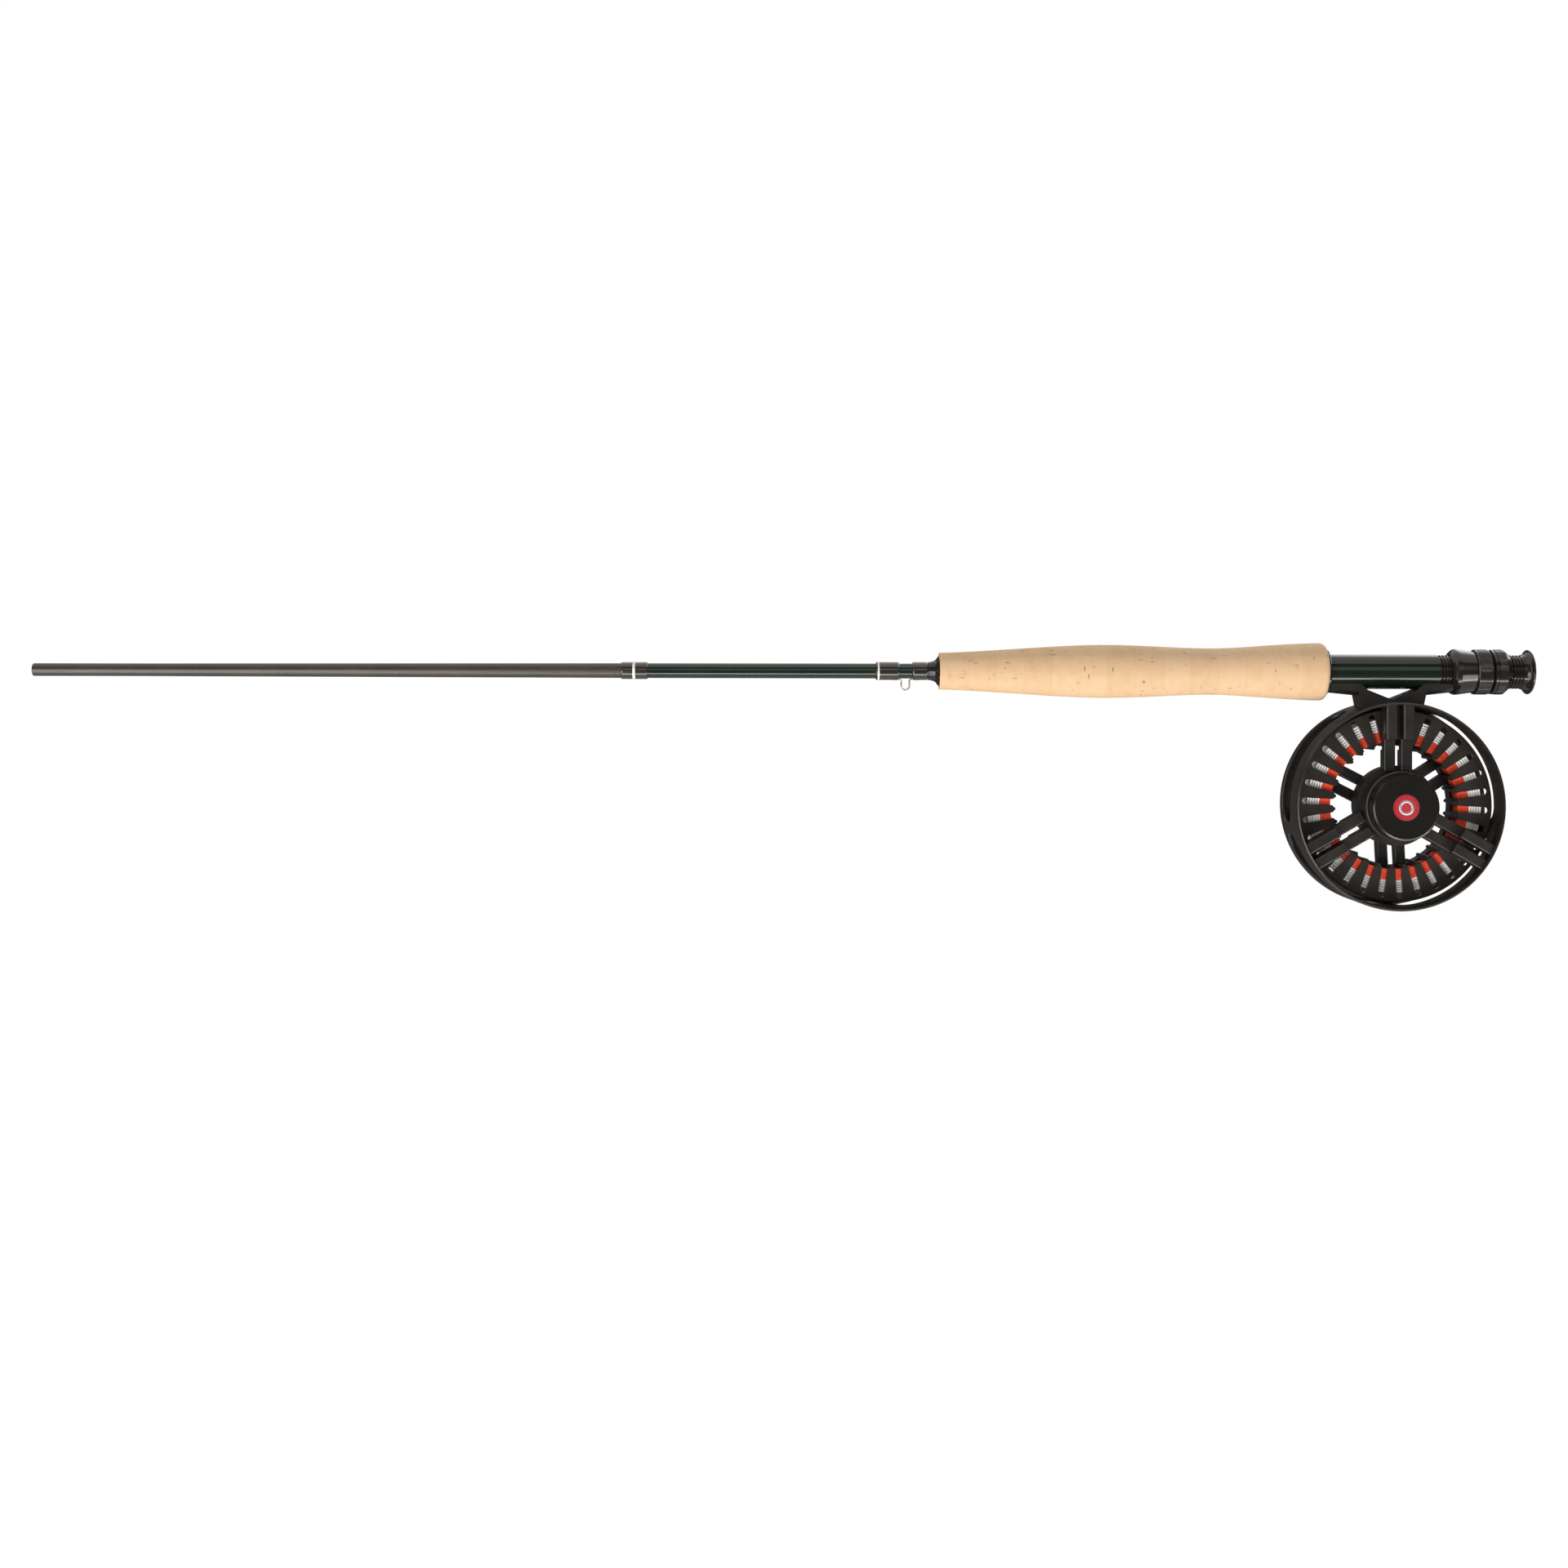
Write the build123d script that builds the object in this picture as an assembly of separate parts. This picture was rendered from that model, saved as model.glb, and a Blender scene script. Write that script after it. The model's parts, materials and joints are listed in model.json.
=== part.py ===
from build123d import *
import math
import os

# Butt section of a take-apart fly rod, with its fly reel locked in the seat.
# Millimetres. The rod lies along X with the butt at +X, the reel hangs below it at -Z,
# and the origin is on the rod's axis at the middle of the cork grip.
# The reel is drawn in its own frame: its axis is local Z, which points to -Y of the rod,
# local X is the rod's X and local Y is the rod's Z. "Depth" is the local Z.

# ---------------------------------------------------------------- rod, along X
TIP_X = -515.5
FERRULE_LENGTH = 50.0
FERRULE_R = 3.0
FERRULE_BORE_R = 1.8
BLANK_MID_X = -240.0
BLANK_MID_R = 3.46
BLANK_END_X = 170.0
BLANK_END_R = 3.6
BLANK_END_BORE_R = 2.1
WRAP_BORE_R = 3.53
WRAP_ROUND = 0.8

UPPER_WRAP = (-240.2, -227.8)
UPPER_WRAP_R = 4.02
UPPER_TRIM = (-234.7, -233.5)
KEEPER_WRAP_FRONT = (-121.0, -110.0)
KEEPER_WRAP_REAR = (-103.9, -96.6)
KEEPER_WRAP_R = 4.25
LOWER_TRIM = (-120.1, -119.3)
TRIM_THICKNESS = 0.09
KEEPER_WIRE_R = 0.38
KEEPER_MID_X = -107.1
KEEPER_HALF_WIDTH = 1.92
KEEPER_LOW_Z = -8.85

GRIP_FRONT_X = -91.3
GRIP_REAR_X = 89.2
GRIP_FRONT_R = 8.6
GRIP_WIDEST = (85.0, 13.4)
GRIP_REAR_ROUND = 2.6
GRIP_SHAPE = [(-72.0, 9.45), (-46.0, 11.1), (-17.0, 12.4), (12.0, 11.65), (38.8, 10.9), (62.0, 12.25)]
GRIP_BORE_R = 3.66
CORK_RINGS = 14

CHECK_PROFILE = [(-96.6, 4.1), (-95.6, 4.3), (-94.3, 4.6), (-93.4, 4.95), (-92.7, 5.6), (-92.0, 6.6),
                 (-91.7, 7.0), (-91.3, 7.0)]

# ---------------------------------------------------------------- reel seat, along X
BARREL_R = 8.03
BARREL_BORE_R = 6.4
BARREL_FRONT_X = 75.2
THREAD_START_X = 141.6
THREAD_END_X = 181.2
THREAD_R = 7.85
THREAD_ROOT_R = 7.15
THREAD_PITCH = 1.5
ARBOR_LENGTH = 18.0
ARBOR_STARTS = (78.0, 112.0, 148.0)
HOOD_SOCKET_R = 10.2
FIXED_HOOD_END_X = 90.3
HOOD_LIP_R = 10.7
FOOT_POCKET_R = 9.85
FOOT_POCKET_HALF_ANGLE = 50.0
FIXED_POCKET_X = 78.4
HOOD_FRONT_X = 147.3
HOOD_REAR_X = 158.3
HOOD_R = 10.7
HOOD_NECK_R = 9.6
HOOD_BORE_R = 8.1
HOOD_POCKET_DEPTH = 6.6
NUT_BORE_R = 7.92
NUT_R = 10.5
FRONT_NUT = (158.6, 165.8)
REAR_NUT = (166.4, 174.6)
SNAP_RING_X = 156.2
CAP_RIM_X = 184.2
CAP_RIM_R = 10.4
CAP_END_X = 185.0
CAP_SPIGOT_X = 171.0
PAD_R = 7.0
PAD_END_X = 185.6

# ---------------------------------------------------------------- reel foot
FOOT_MID_X = 119.5
FOOT_FRONT_X = 80.4
FOOT_REAR_X = 152.0
FOOT_HALF_WIDTH = 5.9
FOOT_BORE_R = 8.08
FOOT_END_R = 9.6
FOOT_ARM_R = 11.1
FOOT_ARM_HALF = 15.6
FOOT_LEG_HALF = 14.2
NOTCH_OUTLINE = [(-15.5, -4.0), (-14.5, -5.4), (-11.5, -8.4), (0.0, -13.0), (11.5, -8.4), (14.5, -5.4),
                 (15.5, -4.0)]
FOOT_SCREW_OFFSET = 8.0
FOOT_SCREW_SEAT_Z = -12.0
FOOT_SCREW_END_Z = -16.4
FOOT_SCREW_R = 1.25
FOOT_SCREW_HEAD_R = 2.2

# ---------------------------------------------------------------- reel, radii and depths
REEL_X = 120.7
REEL_Z = -62.3
RIM_R = 48.3
RIM_BORE_R = 46.9
RIM_FRONT = 16.5
RIM_BACK = -13.3
PORT_FRONT = 3.3
PORT_BACK = -12.2
PORTS = [(115.0, 190.0), (197.0, 267.0), (273.0, 343.0), (350.0, 425.0)]
PORT_CHAMFER = 0.5

FRAME_SPOKES = (90.0, 210.0, 330.0)
FRAME_BAR_WIDTH = 5.3
FRAME_BAR_GAP = 2.6
FRAME_BAR_ROUND = 0.7
FRAME_BAR_BACK = 7.2
FRAME_BAR_STEP_R = 31.0
FRAME_BAR_OUTER_TOP = 15.0
FRAME_BAR_INNER_TOP = 11.0
FRAME_BAR_DEEP_R = 26.6
FRAME_BAR_DEEP_BACK = 5.0
BOSS_R = 18.6
BOSS_FRONT = 8.0
BOSS_BACK = -0.5
CUP_R = 13.2
CUP_FLOOR = 6.5

SPINDLE_R = 3.0
SPINDLE_BORE_R = 3.05
SPINDLE_FRONT = 20.0
SPINDLE_BACK = -13.7
SPINDLE_GROOVE = (-12.95, -11.85)
SPINDLE_GROOVE_R = 2.2
THRUST_PLATE = (3.1, 4.3)
THRUST_PLATE_R = 10.8
THRUST_WASHER_R = 7.5
HOUSING_R = 16.4
HOUSING_BORE_R = 12.0
HOUSING_WALL = 15.0
HOUSING_HOLE_R = 6.4
KNOB_R = 15.5
KNOB_BACK = 17.0
KNOB_FRONT = 23.4
KNOB_EDGE_ROUND = 1.1
MEDALLION_R = 6.15
INSERT_R = 6.0
DETENT_R = 10.0
DRUM_R = 12.2
DRUM_WALL = 1.0
SLEEVE_R = 5.0
SLEEVE_BACK = -8.5
CLUTCH_R = 7.5

FLANGE_R = 45.0
NEAR_FLANGE = (4.7, 6.5)
FAR_FLANGE = (-10.0, -8.0)
ARBOR_R = 29.7
ARBOR_BORE_R = 28.8
RIB_R = 0.9
SKIRT_BORE_R = 43.2
PALM_RIM = (-16.5, -13.7)
SLOT_COUNT = 30
SLOT_PHASE = 9.0
RIB_PHASE = 3.0
SLOT_WIDTH = 3.0
SLOT_INNER_R = 29.85
SLOT_OUTER_R = 43.4
FAR_SLOT_OUTER_R = 42.7
ARBOR_SLOT_BACK = -3.4
SPOOL_SPOKES = (33.0, 153.0, 273.0)
SPOOL_BAR_WIDTH = 4.9
SPOOL_BAR_GAP = 3.3
SPOOL_BAR_ROUND = 0.5
SPOOL_BAR = (-8.8, -3.6)
SPOOL_HUB_R = 12.0
SPOOL_HUB = (-11.0, -2.0)
BEARING_R = 6.5
WINDING_GAP = 0.03
WINDING = (FAR_FLANGE[1] + WINDING_GAP, NEAR_FLANGE[0] - WINDING_GAP)
BACKING_R = 34.8
LINE_R = 40.9
GEAR_TEETH = 36
GEAR_TIP_R = 13.8
GEAR_BORE_R = 11.0
GEAR = (-3.2, -2.1)
PAWL_PIVOT_R = 17.0
PAWL_ANGLE = 60.0
PAWL_TIP_R = 14.15
PAWL = (-3.0, -1.0)
CAP_R = 11.8
CAP_BACK = -15.2
CAP_CAVITY_R = 9.6
LATCH = (-12.85, -11.95)
LATCH_TRAVEL = 1.6
HANDLE_ORBIT_R = 36.0
HANDLE_ANGLE = 273.0
COUNTERWEIGHT_ANGLE = 93.0
HANDLE_POST_R = 2.5
HANDLE_BORE_R = 2.56
HANDLE_BACK = -31.0

os.makedirs("parts", exist_ok=True)

REEL = Location(Plane(origin=(REEL_X, 0, REEL_Z), x_dir=(1, 0, 0), z_dir=(0, -1, 0)))


def save(shape, name):
    """Write one sub-part in the rod's frame."""
    export_step(shape, f"parts/{name}.step")


def save_on_reel(shape, name):
    """Write one sub-part that is drawn in the reel's frame."""
    save(REEL * shape, name)


def turned_on_rod(points):
    """Solid turned about the rod's axis from (station, radius) points."""
    outline = Polyline(*points, close=True)
    return revolve(make_face(outline), Axis.X)


def turned_on_reel(points):
    """Solid turned about the reel's axis from (radius, depth) points."""
    outline = Polyline(*[(radius, 0, depth) for radius, depth in points], close=True)
    return revolve(make_face(outline), Axis.Z)


def tube_on_rod(x_from, x_to, outer_r, inner_r):
    """Plain tube on the rod's axis."""
    return turned_on_rod([(x_from, inner_r), (x_to, inner_r), (x_to, outer_r), (x_from, outer_r)])


def tube_on_reel(depth_from, depth_to, outer_r, inner_r):
    """Plain tube on the reel's axis."""
    corners = [(inner_r, depth_from), (outer_r, depth_from), (outer_r, depth_to), (inner_r, depth_to)]
    return turned_on_reel(corners)


def disc_on_reel(depth_from, depth_to, radius, angle=0.0, orbit_r=0.0):
    """Solid cylinder along the reel's axis, on it or on an orbit round it."""
    height = depth_to - depth_from
    centre = Location((0, 0, (depth_from + depth_to) / 2))
    return Rot(0, 0, angle) * Pos(orbit_r, 0, 0) * centre * Cylinder(radius, height)


def radial_bar(angle, offset, width, r_from, r_to, depth_from, depth_to, front_round=0.0, back_round=0.0):
    """Straight bar that runs outwards at an angle, set off sideways from the radius."""
    bar = Box(r_to - r_from, width, depth_to - depth_from)
    if front_round:
        bar = fillet(bar.edges().filter_by(Axis.X).group_by(Axis.Z)[-1], front_round)
    if back_round:
        bar = fillet(bar.edges().filter_by(Axis.X).group_by(Axis.Z)[0], back_round)
    place = Pos((r_from + r_to) / 2, offset, (depth_from + depth_to) / 2)
    return Rot(0, 0, angle) * place * bar


def ring_sector(angle_from, angle_to, outer_r, inner_r, depth_from, depth_to):
    """Part of a tube on the reel's axis, between two angles."""
    span = angle_to - angle_from
    corners = [(inner_r, 0, depth_from), (outer_r, 0, depth_from), (outer_r, 0, depth_to),
               (inner_r, 0, depth_to)]
    face = make_face(Polyline(*corners, close=True))
    return Rot(0, 0, angle_from) * revolve(face, Axis.Z, revolution_arc=span)


def torus_on_reel(major_r, minor_r, depth):
    """O-ring on the reel's axis."""
    return Pos(0, 0, depth) * Torus(major_r, minor_r)


def coil_spring(radius, wire_r, pitch, height):
    """Open coil spring standing on local Z."""
    path = Helix(pitch=pitch, height=height, radius=radius)
    section = Plane(origin=path @ 0, z_dir=path % 0) * Circle(wire_r)
    return sweep(section, path)


# ================================================================ rod
def rod_blank():
    ferrule_end = TIP_X + FERRULE_LENGTH
    outline = [
        (TIP_X, FERRULE_BORE_R),
        (TIP_X, FERRULE_R - 0.15),
        (TIP_X + 0.15, FERRULE_R),
        (ferrule_end, FERRULE_R),
        (BLANK_MID_X, BLANK_MID_R),
        (BLANK_END_X, BLANK_END_R),
        (BLANK_END_X, BLANK_END_BORE_R),
        (ferrule_end, FERRULE_BORE_R),
    ]
    return turned_on_rod(outline)


def wrap(span, outer_r):
    """Varnished thread wrap with rounded shoulders."""
    start, end = span
    low = outer_r - 0.4
    mid = outer_r - 0.1
    outline = [
        (start, WRAP_BORE_R),
        (start, low),
        (start + WRAP_ROUND / 3, mid),
        (start + WRAP_ROUND, outer_r),
        (end - WRAP_ROUND, outer_r),
        (end - WRAP_ROUND / 3, mid),
        (end, low),
        (end, WRAP_BORE_R),
    ]
    return turned_on_rod(outline)


def hook_keeper():
    """Wire loop whose two feet lie along the blank under the wraps."""
    foot_z = -(WRAP_BORE_R + KEEPER_WIRE_R)
    front = KEEPER_MID_X - KEEPER_HALF_WIDTH
    rear = KEEPER_MID_X + KEEPER_HALF_WIDTH
    corners = [
        (KEEPER_WRAP_FRONT[1] - 3.5, 0, foot_z),
        (front, 0, foot_z),
        (front, 0, KEEPER_LOW_Z),
        (rear, 0, KEEPER_LOW_Z),
        (rear, 0, foot_z),
        (KEEPER_WRAP_REAR[0] + 3.5, 0, foot_z),
    ]
    path = FilletPolyline(*corners, radius=[0.8, 1.85, 1.85, 0.8])
    section = Plane(origin=path @ 0, z_dir=path % 0) * Circle(KEEPER_WIRE_R)
    return sweep(section, path)


def winding_check():
    return turned_on_rod(CHECK_PROFILE + [(GRIP_FRONT_X, WRAP_BORE_R), (-96.6, WRAP_BORE_R)])


def grip_solid():
    """Turned outside of the grip, with no bore."""
    top = Spline((GRIP_FRONT_X, GRIP_FRONT_R), *GRIP_SHAPE, GRIP_WIDEST)
    widest_x, widest_r = GRIP_WIDEST
    shoulder = (GRIP_REAR_X - GRIP_REAR_ROUND, widest_r)
    middle = GRIP_REAR_ROUND * math.sqrt(0.5)
    round_centre = (shoulder[0], widest_r - GRIP_REAR_ROUND)
    arc_mid = (round_centre[0] + middle, round_centre[1] + middle)
    arc_end = (GRIP_REAR_X, widest_r - GRIP_REAR_ROUND)
    outline = top + Line(GRIP_WIDEST, shoulder)
    outline += ThreePointArc(shoulder, arc_mid, arc_end)
    outline += Line(arc_end, (GRIP_REAR_X, 0))
    outline += Line((GRIP_REAR_X, 0), (GRIP_FRONT_X, 0))
    outline += Line((GRIP_FRONT_X, 0), (GRIP_FRONT_X, GRIP_FRONT_R))
    return revolve(make_face(outline), Axis.X)


def cork_grip():
    """Grip glued up from cork rings, bored for the blank and socketed for the fixed hood."""
    body = grip_solid()
    body -= tube_on_rod(GRIP_FRONT_X - 1, GRIP_REAR_X + 1, GRIP_BORE_R, 0)
    body -= tube_on_rod(BARREL_FRONT_X, GRIP_REAR_X + 1, HOOD_SOCKET_R, 0)
    ring_length = (GRIP_REAR_X - GRIP_FRONT_X) / CORK_RINGS
    rings = []
    for index in range(CORK_RINGS):
        start = GRIP_FRONT_X + index * ring_length
        slab = tube_on_rod(start, start + ring_length, 20, 0)
        rings.append(body & slab)
    return Compound(children=[solid for ring in rings for solid in ring.solids()])


# ================================================================ reel seat
def foot_pocket(x_from, x_to):
    """Room for one end of the reel foot, under the barrel."""
    face = Plane.YZ.offset(x_from) * (Circle(FOOT_POCKET_R) - Circle(BARREL_R - 0.5))
    tube = extrude(face, x_to - x_from)
    reach = 30.0
    half = math.radians(FOOT_POCKET_HALF_ANGLE)
    side = reach * math.sin(half)
    drop = -reach * math.cos(half)
    wedge = Plane.YZ.offset(x_from) * make_face(Polyline((0, 0), (side, drop), (-side, drop), close=True))
    return tube & extrude(wedge, x_to - x_from)


def fixed_hood():
    outline = [
        (BARREL_FRONT_X, BARREL_R),
        (BARREL_FRONT_X, HOOD_SOCKET_R),
        (GRIP_REAR_X, HOOD_SOCKET_R),
        (GRIP_REAR_X, HOOD_LIP_R),
        (FIXED_HOOD_END_X - 0.4, HOOD_LIP_R),
        (FIXED_HOOD_END_X, HOOD_LIP_R - 0.4),
        (FIXED_HOOD_END_X, BARREL_R),
    ]
    return turned_on_rod(outline) - foot_pocket(FIXED_POCKET_X, FIXED_HOOD_END_X + 1)


def seat_barrel():
    """Tube with annular thread grooves on its rear part."""
    outline = [(BARREL_FRONT_X, BARREL_BORE_R), (BARREL_FRONT_X, BARREL_R), (THREAD_START_X, BARREL_R)]
    turns = int((THREAD_END_X - THREAD_START_X) / THREAD_PITCH)
    for turn in range(turns):
        start = THREAD_START_X + turn * THREAD_PITCH
        outline.append((start + 0.1, THREAD_R))
        outline.append((start + 0.6, THREAD_ROOT_R))
        outline.append((start + 0.8, THREAD_ROOT_R))
        outline.append((start + 1.3, THREAD_R))
    outline += [(THREAD_END_X, THREAD_R), (THREAD_END_X, BARREL_BORE_R)]
    return turned_on_rod(outline)


def seat_arbors():
    """Cork spacers between the blank and the barrel."""
    spacers = [tube_on_rod(start, start + ARBOR_LENGTH, BARREL_BORE_R, BLANK_END_R + 0.02)
               for start in ARBOR_STARTS]
    return Compound(children=spacers)


def sliding_hood():
    outline = [
        (HOOD_FRONT_X, HOOD_BORE_R),
        (HOOD_FRONT_X, HOOD_BORE_R + 0.6),
        (HOOD_FRONT_X + 0.7, HOOD_R - 1.1),
        (HOOD_FRONT_X + 1.7, HOOD_R - 0.25),
        (HOOD_FRONT_X + 2.6, HOOD_R),
        (HOOD_FRONT_X + 3.4, HOOD_R),
        (HOOD_REAR_X, HOOD_NECK_R),
        (HOOD_REAR_X, HOOD_BORE_R),
    ]
    body = turned_on_rod(outline)
    body -= foot_pocket(HOOD_FRONT_X - 1, HOOD_FRONT_X + HOOD_POCKET_DEPTH)
    groove = tube_on_rod(SNAP_RING_X - 0.35, SNAP_RING_X + 0.35, HOOD_BORE_R + 0.8, HOOD_BORE_R - 0.5)
    return body - groove


def hood_snap_ring():
    """Split wire ring in the hood's bore groove."""
    ring = tube_on_rod(SNAP_RING_X - 0.3, SNAP_RING_X + 0.3, HOOD_BORE_R + 0.75, HOOD_BORE_R + 0.02)
    gap = Pos(SNAP_RING_X, 0, HOOD_BORE_R) * Box(2, 3, 4)
    return ring - gap


def lock_nut_front():
    start, end = FRONT_NUT
    outline = [
        (start, NUT_BORE_R),
        (start, NUT_R - 0.4),
        (start + 0.4, NUT_R),
        (end - 0.7, NUT_R),
        (end, NUT_R - 0.6),
        (end, NUT_BORE_R),
    ]
    return turned_on_rod(outline)


def lock_nut_rear():
    start, end = REAR_NUT
    outline = [
        (start, NUT_BORE_R),
        (start, NUT_R - 0.6),
        (start + 0.4, NUT_R - 0.1),
        (start + 1.1, NUT_R - 0.1),
        (start + 1.3, NUT_R - 0.45),
        (start + 1.6, NUT_R - 0.45),
        (start + 1.8, NUT_R),
        (end - 2.4, NUT_R),
        (end, NUT_BORE_R + 0.5),
        (end, NUT_BORE_R),
    ]
    return turned_on_rod(outline)


def butt_cap():
    """Flared cap with a spigot that is glued in the barrel's end."""
    flare = Spline((THREAD_END_X + 0.3, 8.1), (CAP_RIM_X - 1.2, 9.0), (CAP_RIM_X - 0.3, CAP_RIM_R - 0.15))
    rim_mid = (CAP_RIM_X + 0.15, CAP_RIM_R)
    rim_end = (CAP_END_X, CAP_RIM_R - 0.75)
    outline = flare + ThreePointArc(flare @ 1, rim_mid, rim_end)
    rest = [
        rim_end,
        (CAP_END_X, PAD_R),
        (CAP_END_X - 1.2, PAD_R),
        (CAP_END_X - 1.2, 0),
        (CAP_SPIGOT_X, 0),
        (CAP_SPIGOT_X, BARREL_BORE_R),
        (THREAD_END_X, BARREL_BORE_R),
        (THREAD_END_X, 8.1),
        (THREAD_END_X + 0.3, 8.1),
    ]
    outline += Polyline(*rest)
    return revolve(make_face(outline), Axis.X)


def butt_pad():
    outline = [
        (CAP_END_X - 1.2, 0),
        (CAP_END_X - 1.2, PAD_R),
        (CAP_END_X, PAD_R),
        (CAP_END_X + 0.35, PAD_R - 0.7),
        (PAD_END_X, PAD_R - 1.8),
        (PAD_END_X, 0),
    ]
    return turned_on_rod(outline)


# ================================================================ reel foot
def reel_foot():
    """Two saddle arms and a pair of legs with a notch between them."""
    arm_front = FOOT_MID_X - FOOT_ARM_HALF
    arm_rear = FOOT_MID_X + FOOT_ARM_HALF
    saddle_outline = [
        (FOOT_FRONT_X, 0),
        (FOOT_FRONT_X, FOOT_END_R - 0.9),
        (FOOT_FRONT_X + 4, FOOT_END_R),
        (FIXED_HOOD_END_X, FOOT_END_R + 0.1),
        (arm_front, FOOT_ARM_R),
        (arm_rear, FOOT_ARM_R),
        (HOOD_FRONT_X, FOOT_END_R + 0.1),
        (FOOT_REAR_X - 4, FOOT_END_R),
        (FOOT_REAR_X, FOOT_END_R - 0.9),
        (FOOT_REAR_X, 0),
    ]
    length = FOOT_REAR_X - FOOT_FRONT_X
    middle = (FOOT_REAR_X + FOOT_FRONT_X) / 2
    saddle = turned_on_rod(saddle_outline) & (Pos(middle, 0, -10) * Box(length, 2 * FOOT_HALF_WIDTH, 20))
    leg_outline = [
        (arm_front, -FOOT_BORE_R + 2),
        (arm_rear, -FOOT_BORE_R + 2),
        (arm_rear, -FOOT_ARM_R),
        (FOOT_MID_X + FOOT_LEG_HALF, -18),
        (FOOT_MID_X - FOOT_LEG_HALF, -18),
        (arm_front, -FOOT_ARM_R),
    ]
    legs = extrude(Plane.XZ * make_face(Polyline(*leg_outline, close=True)), FOOT_HALF_WIDTH, both=True)
    notch_points = [(FOOT_MID_X + x, z) for x, z in NOTCH_OUTLINE]
    notch = extrude(Plane.XZ * make_face(Polyline(*notch_points, close=True)), 10, both=True)
    foot = saddle + legs - notch
    foot -= tube_on_rod(FOOT_FRONT_X - 1, FOOT_REAR_X + 1, FOOT_BORE_R, 0)
    foot -= REEL * Cylinder(RIM_R, 60)
    return foot - foot_screw_holes()


def foot_screw_places():
    return [FOOT_MID_X - FOOT_SCREW_OFFSET, FOOT_MID_X + FOOT_SCREW_OFFSET]


def foot_screw_holes():
    """Clearance for the screws' heads and shanks."""
    holes = []
    for x in foot_screw_places():
        head_depth = FOOT_SCREW_SEAT_Z + 5
        head_room = Cylinder(FOOT_SCREW_HEAD_R + 0.1, -head_depth)
        holes.append(Pos(x, 0, (FOOT_SCREW_SEAT_Z - 5) / 2) * head_room)
        shank = FOOT_SCREW_SEAT_Z - FOOT_SCREW_END_Z
        holes.append(Pos(x, 0, FOOT_SCREW_SEAT_Z - shank / 2) * Cylinder(FOOT_SCREW_R, shank))
    return Compound(children=holes)


def foot_screws():
    """Two socket screws that hold the foot to the frame's rim."""
    screws = []
    for x in foot_screw_places():
        shank = FOOT_SCREW_SEAT_Z - FOOT_SCREW_END_Z
        body = Pos(x, 0, FOOT_SCREW_SEAT_Z - shank / 2) * Cylinder(FOOT_SCREW_R, shank)
        head = Pos(x, 0, FOOT_SCREW_SEAT_Z + 0.7) * Cylinder(FOOT_SCREW_HEAD_R, 1.4)
        socket = Pos(x, 0, FOOT_SCREW_SEAT_Z + 1.1) * extrude(RegularPolygon(1.0, 6), 1.0)
        screws.append(body + head - socket)
    return Compound(children=screws)


# ================================================================ reel frame
def frame_port(angle_from, angle_to):
    """Long oval opening in the side of the rim."""
    half = (PORT_FRONT - PORT_BACK) / 2
    middle = (PORT_FRONT + PORT_BACK) / 2
    end_span = math.degrees(math.asin(half / RIM_R))
    first = angle_from + end_span
    last = angle_to - end_span
    port = ring_sector(first, last, RIM_R + 2, RIM_BORE_R - 2, PORT_BACK, PORT_FRONT)
    for angle in (first, last):
        end = Rot(0, 0, angle) * Pos(RIM_R, 0, middle) * Rot(0, 90, 0) * Cylinder(half, 12)
        port += end
    return port


def port_edges(rim):
    """The ports' edges on the outside of the rim."""
    tolerance = 0.02
    found = []
    for edge in rim.edges():
        points = [edge @ (step / 4) for step in range(5)]
        on_rim = all(abs(math.hypot(point.X, point.Y) - RIM_R) < tolerance for point in points)
        on_port = all(PORT_BACK - tolerance < point.Z < PORT_FRONT + tolerance for point in points)
        if on_rim and on_port:
            found.append(edge)
    return found


def frame_spoke(angle):
    """Twin bars: deep near the hub, set back, then raised towards the rim."""
    side = (FRAME_BAR_GAP + FRAME_BAR_WIDTH) / 2
    hub_side = BOSS_R - 2
    bars = None
    for offset in (-side, side):
        inner = radial_bar(angle, offset, FRAME_BAR_WIDTH, hub_side, FRAME_BAR_STEP_R + 0.5,
                           FRAME_BAR_BACK, FRAME_BAR_INNER_TOP, FRAME_BAR_ROUND)
        deep = radial_bar(angle, offset, FRAME_BAR_WIDTH, hub_side, FRAME_BAR_DEEP_R - 0.6,
                          FRAME_BAR_DEEP_BACK, FRAME_BAR_BACK + 1)
        outer = radial_bar(angle, offset, FRAME_BAR_WIDTH, FRAME_BAR_STEP_R, RIM_BORE_R + 0.6,
                           FRAME_BAR_BACK, FRAME_BAR_OUTER_TOP, FRAME_BAR_ROUND + 0.3)
        bar = inner + deep + outer
        bars = bar if bars is None else bars + bar
    return bars


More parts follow.
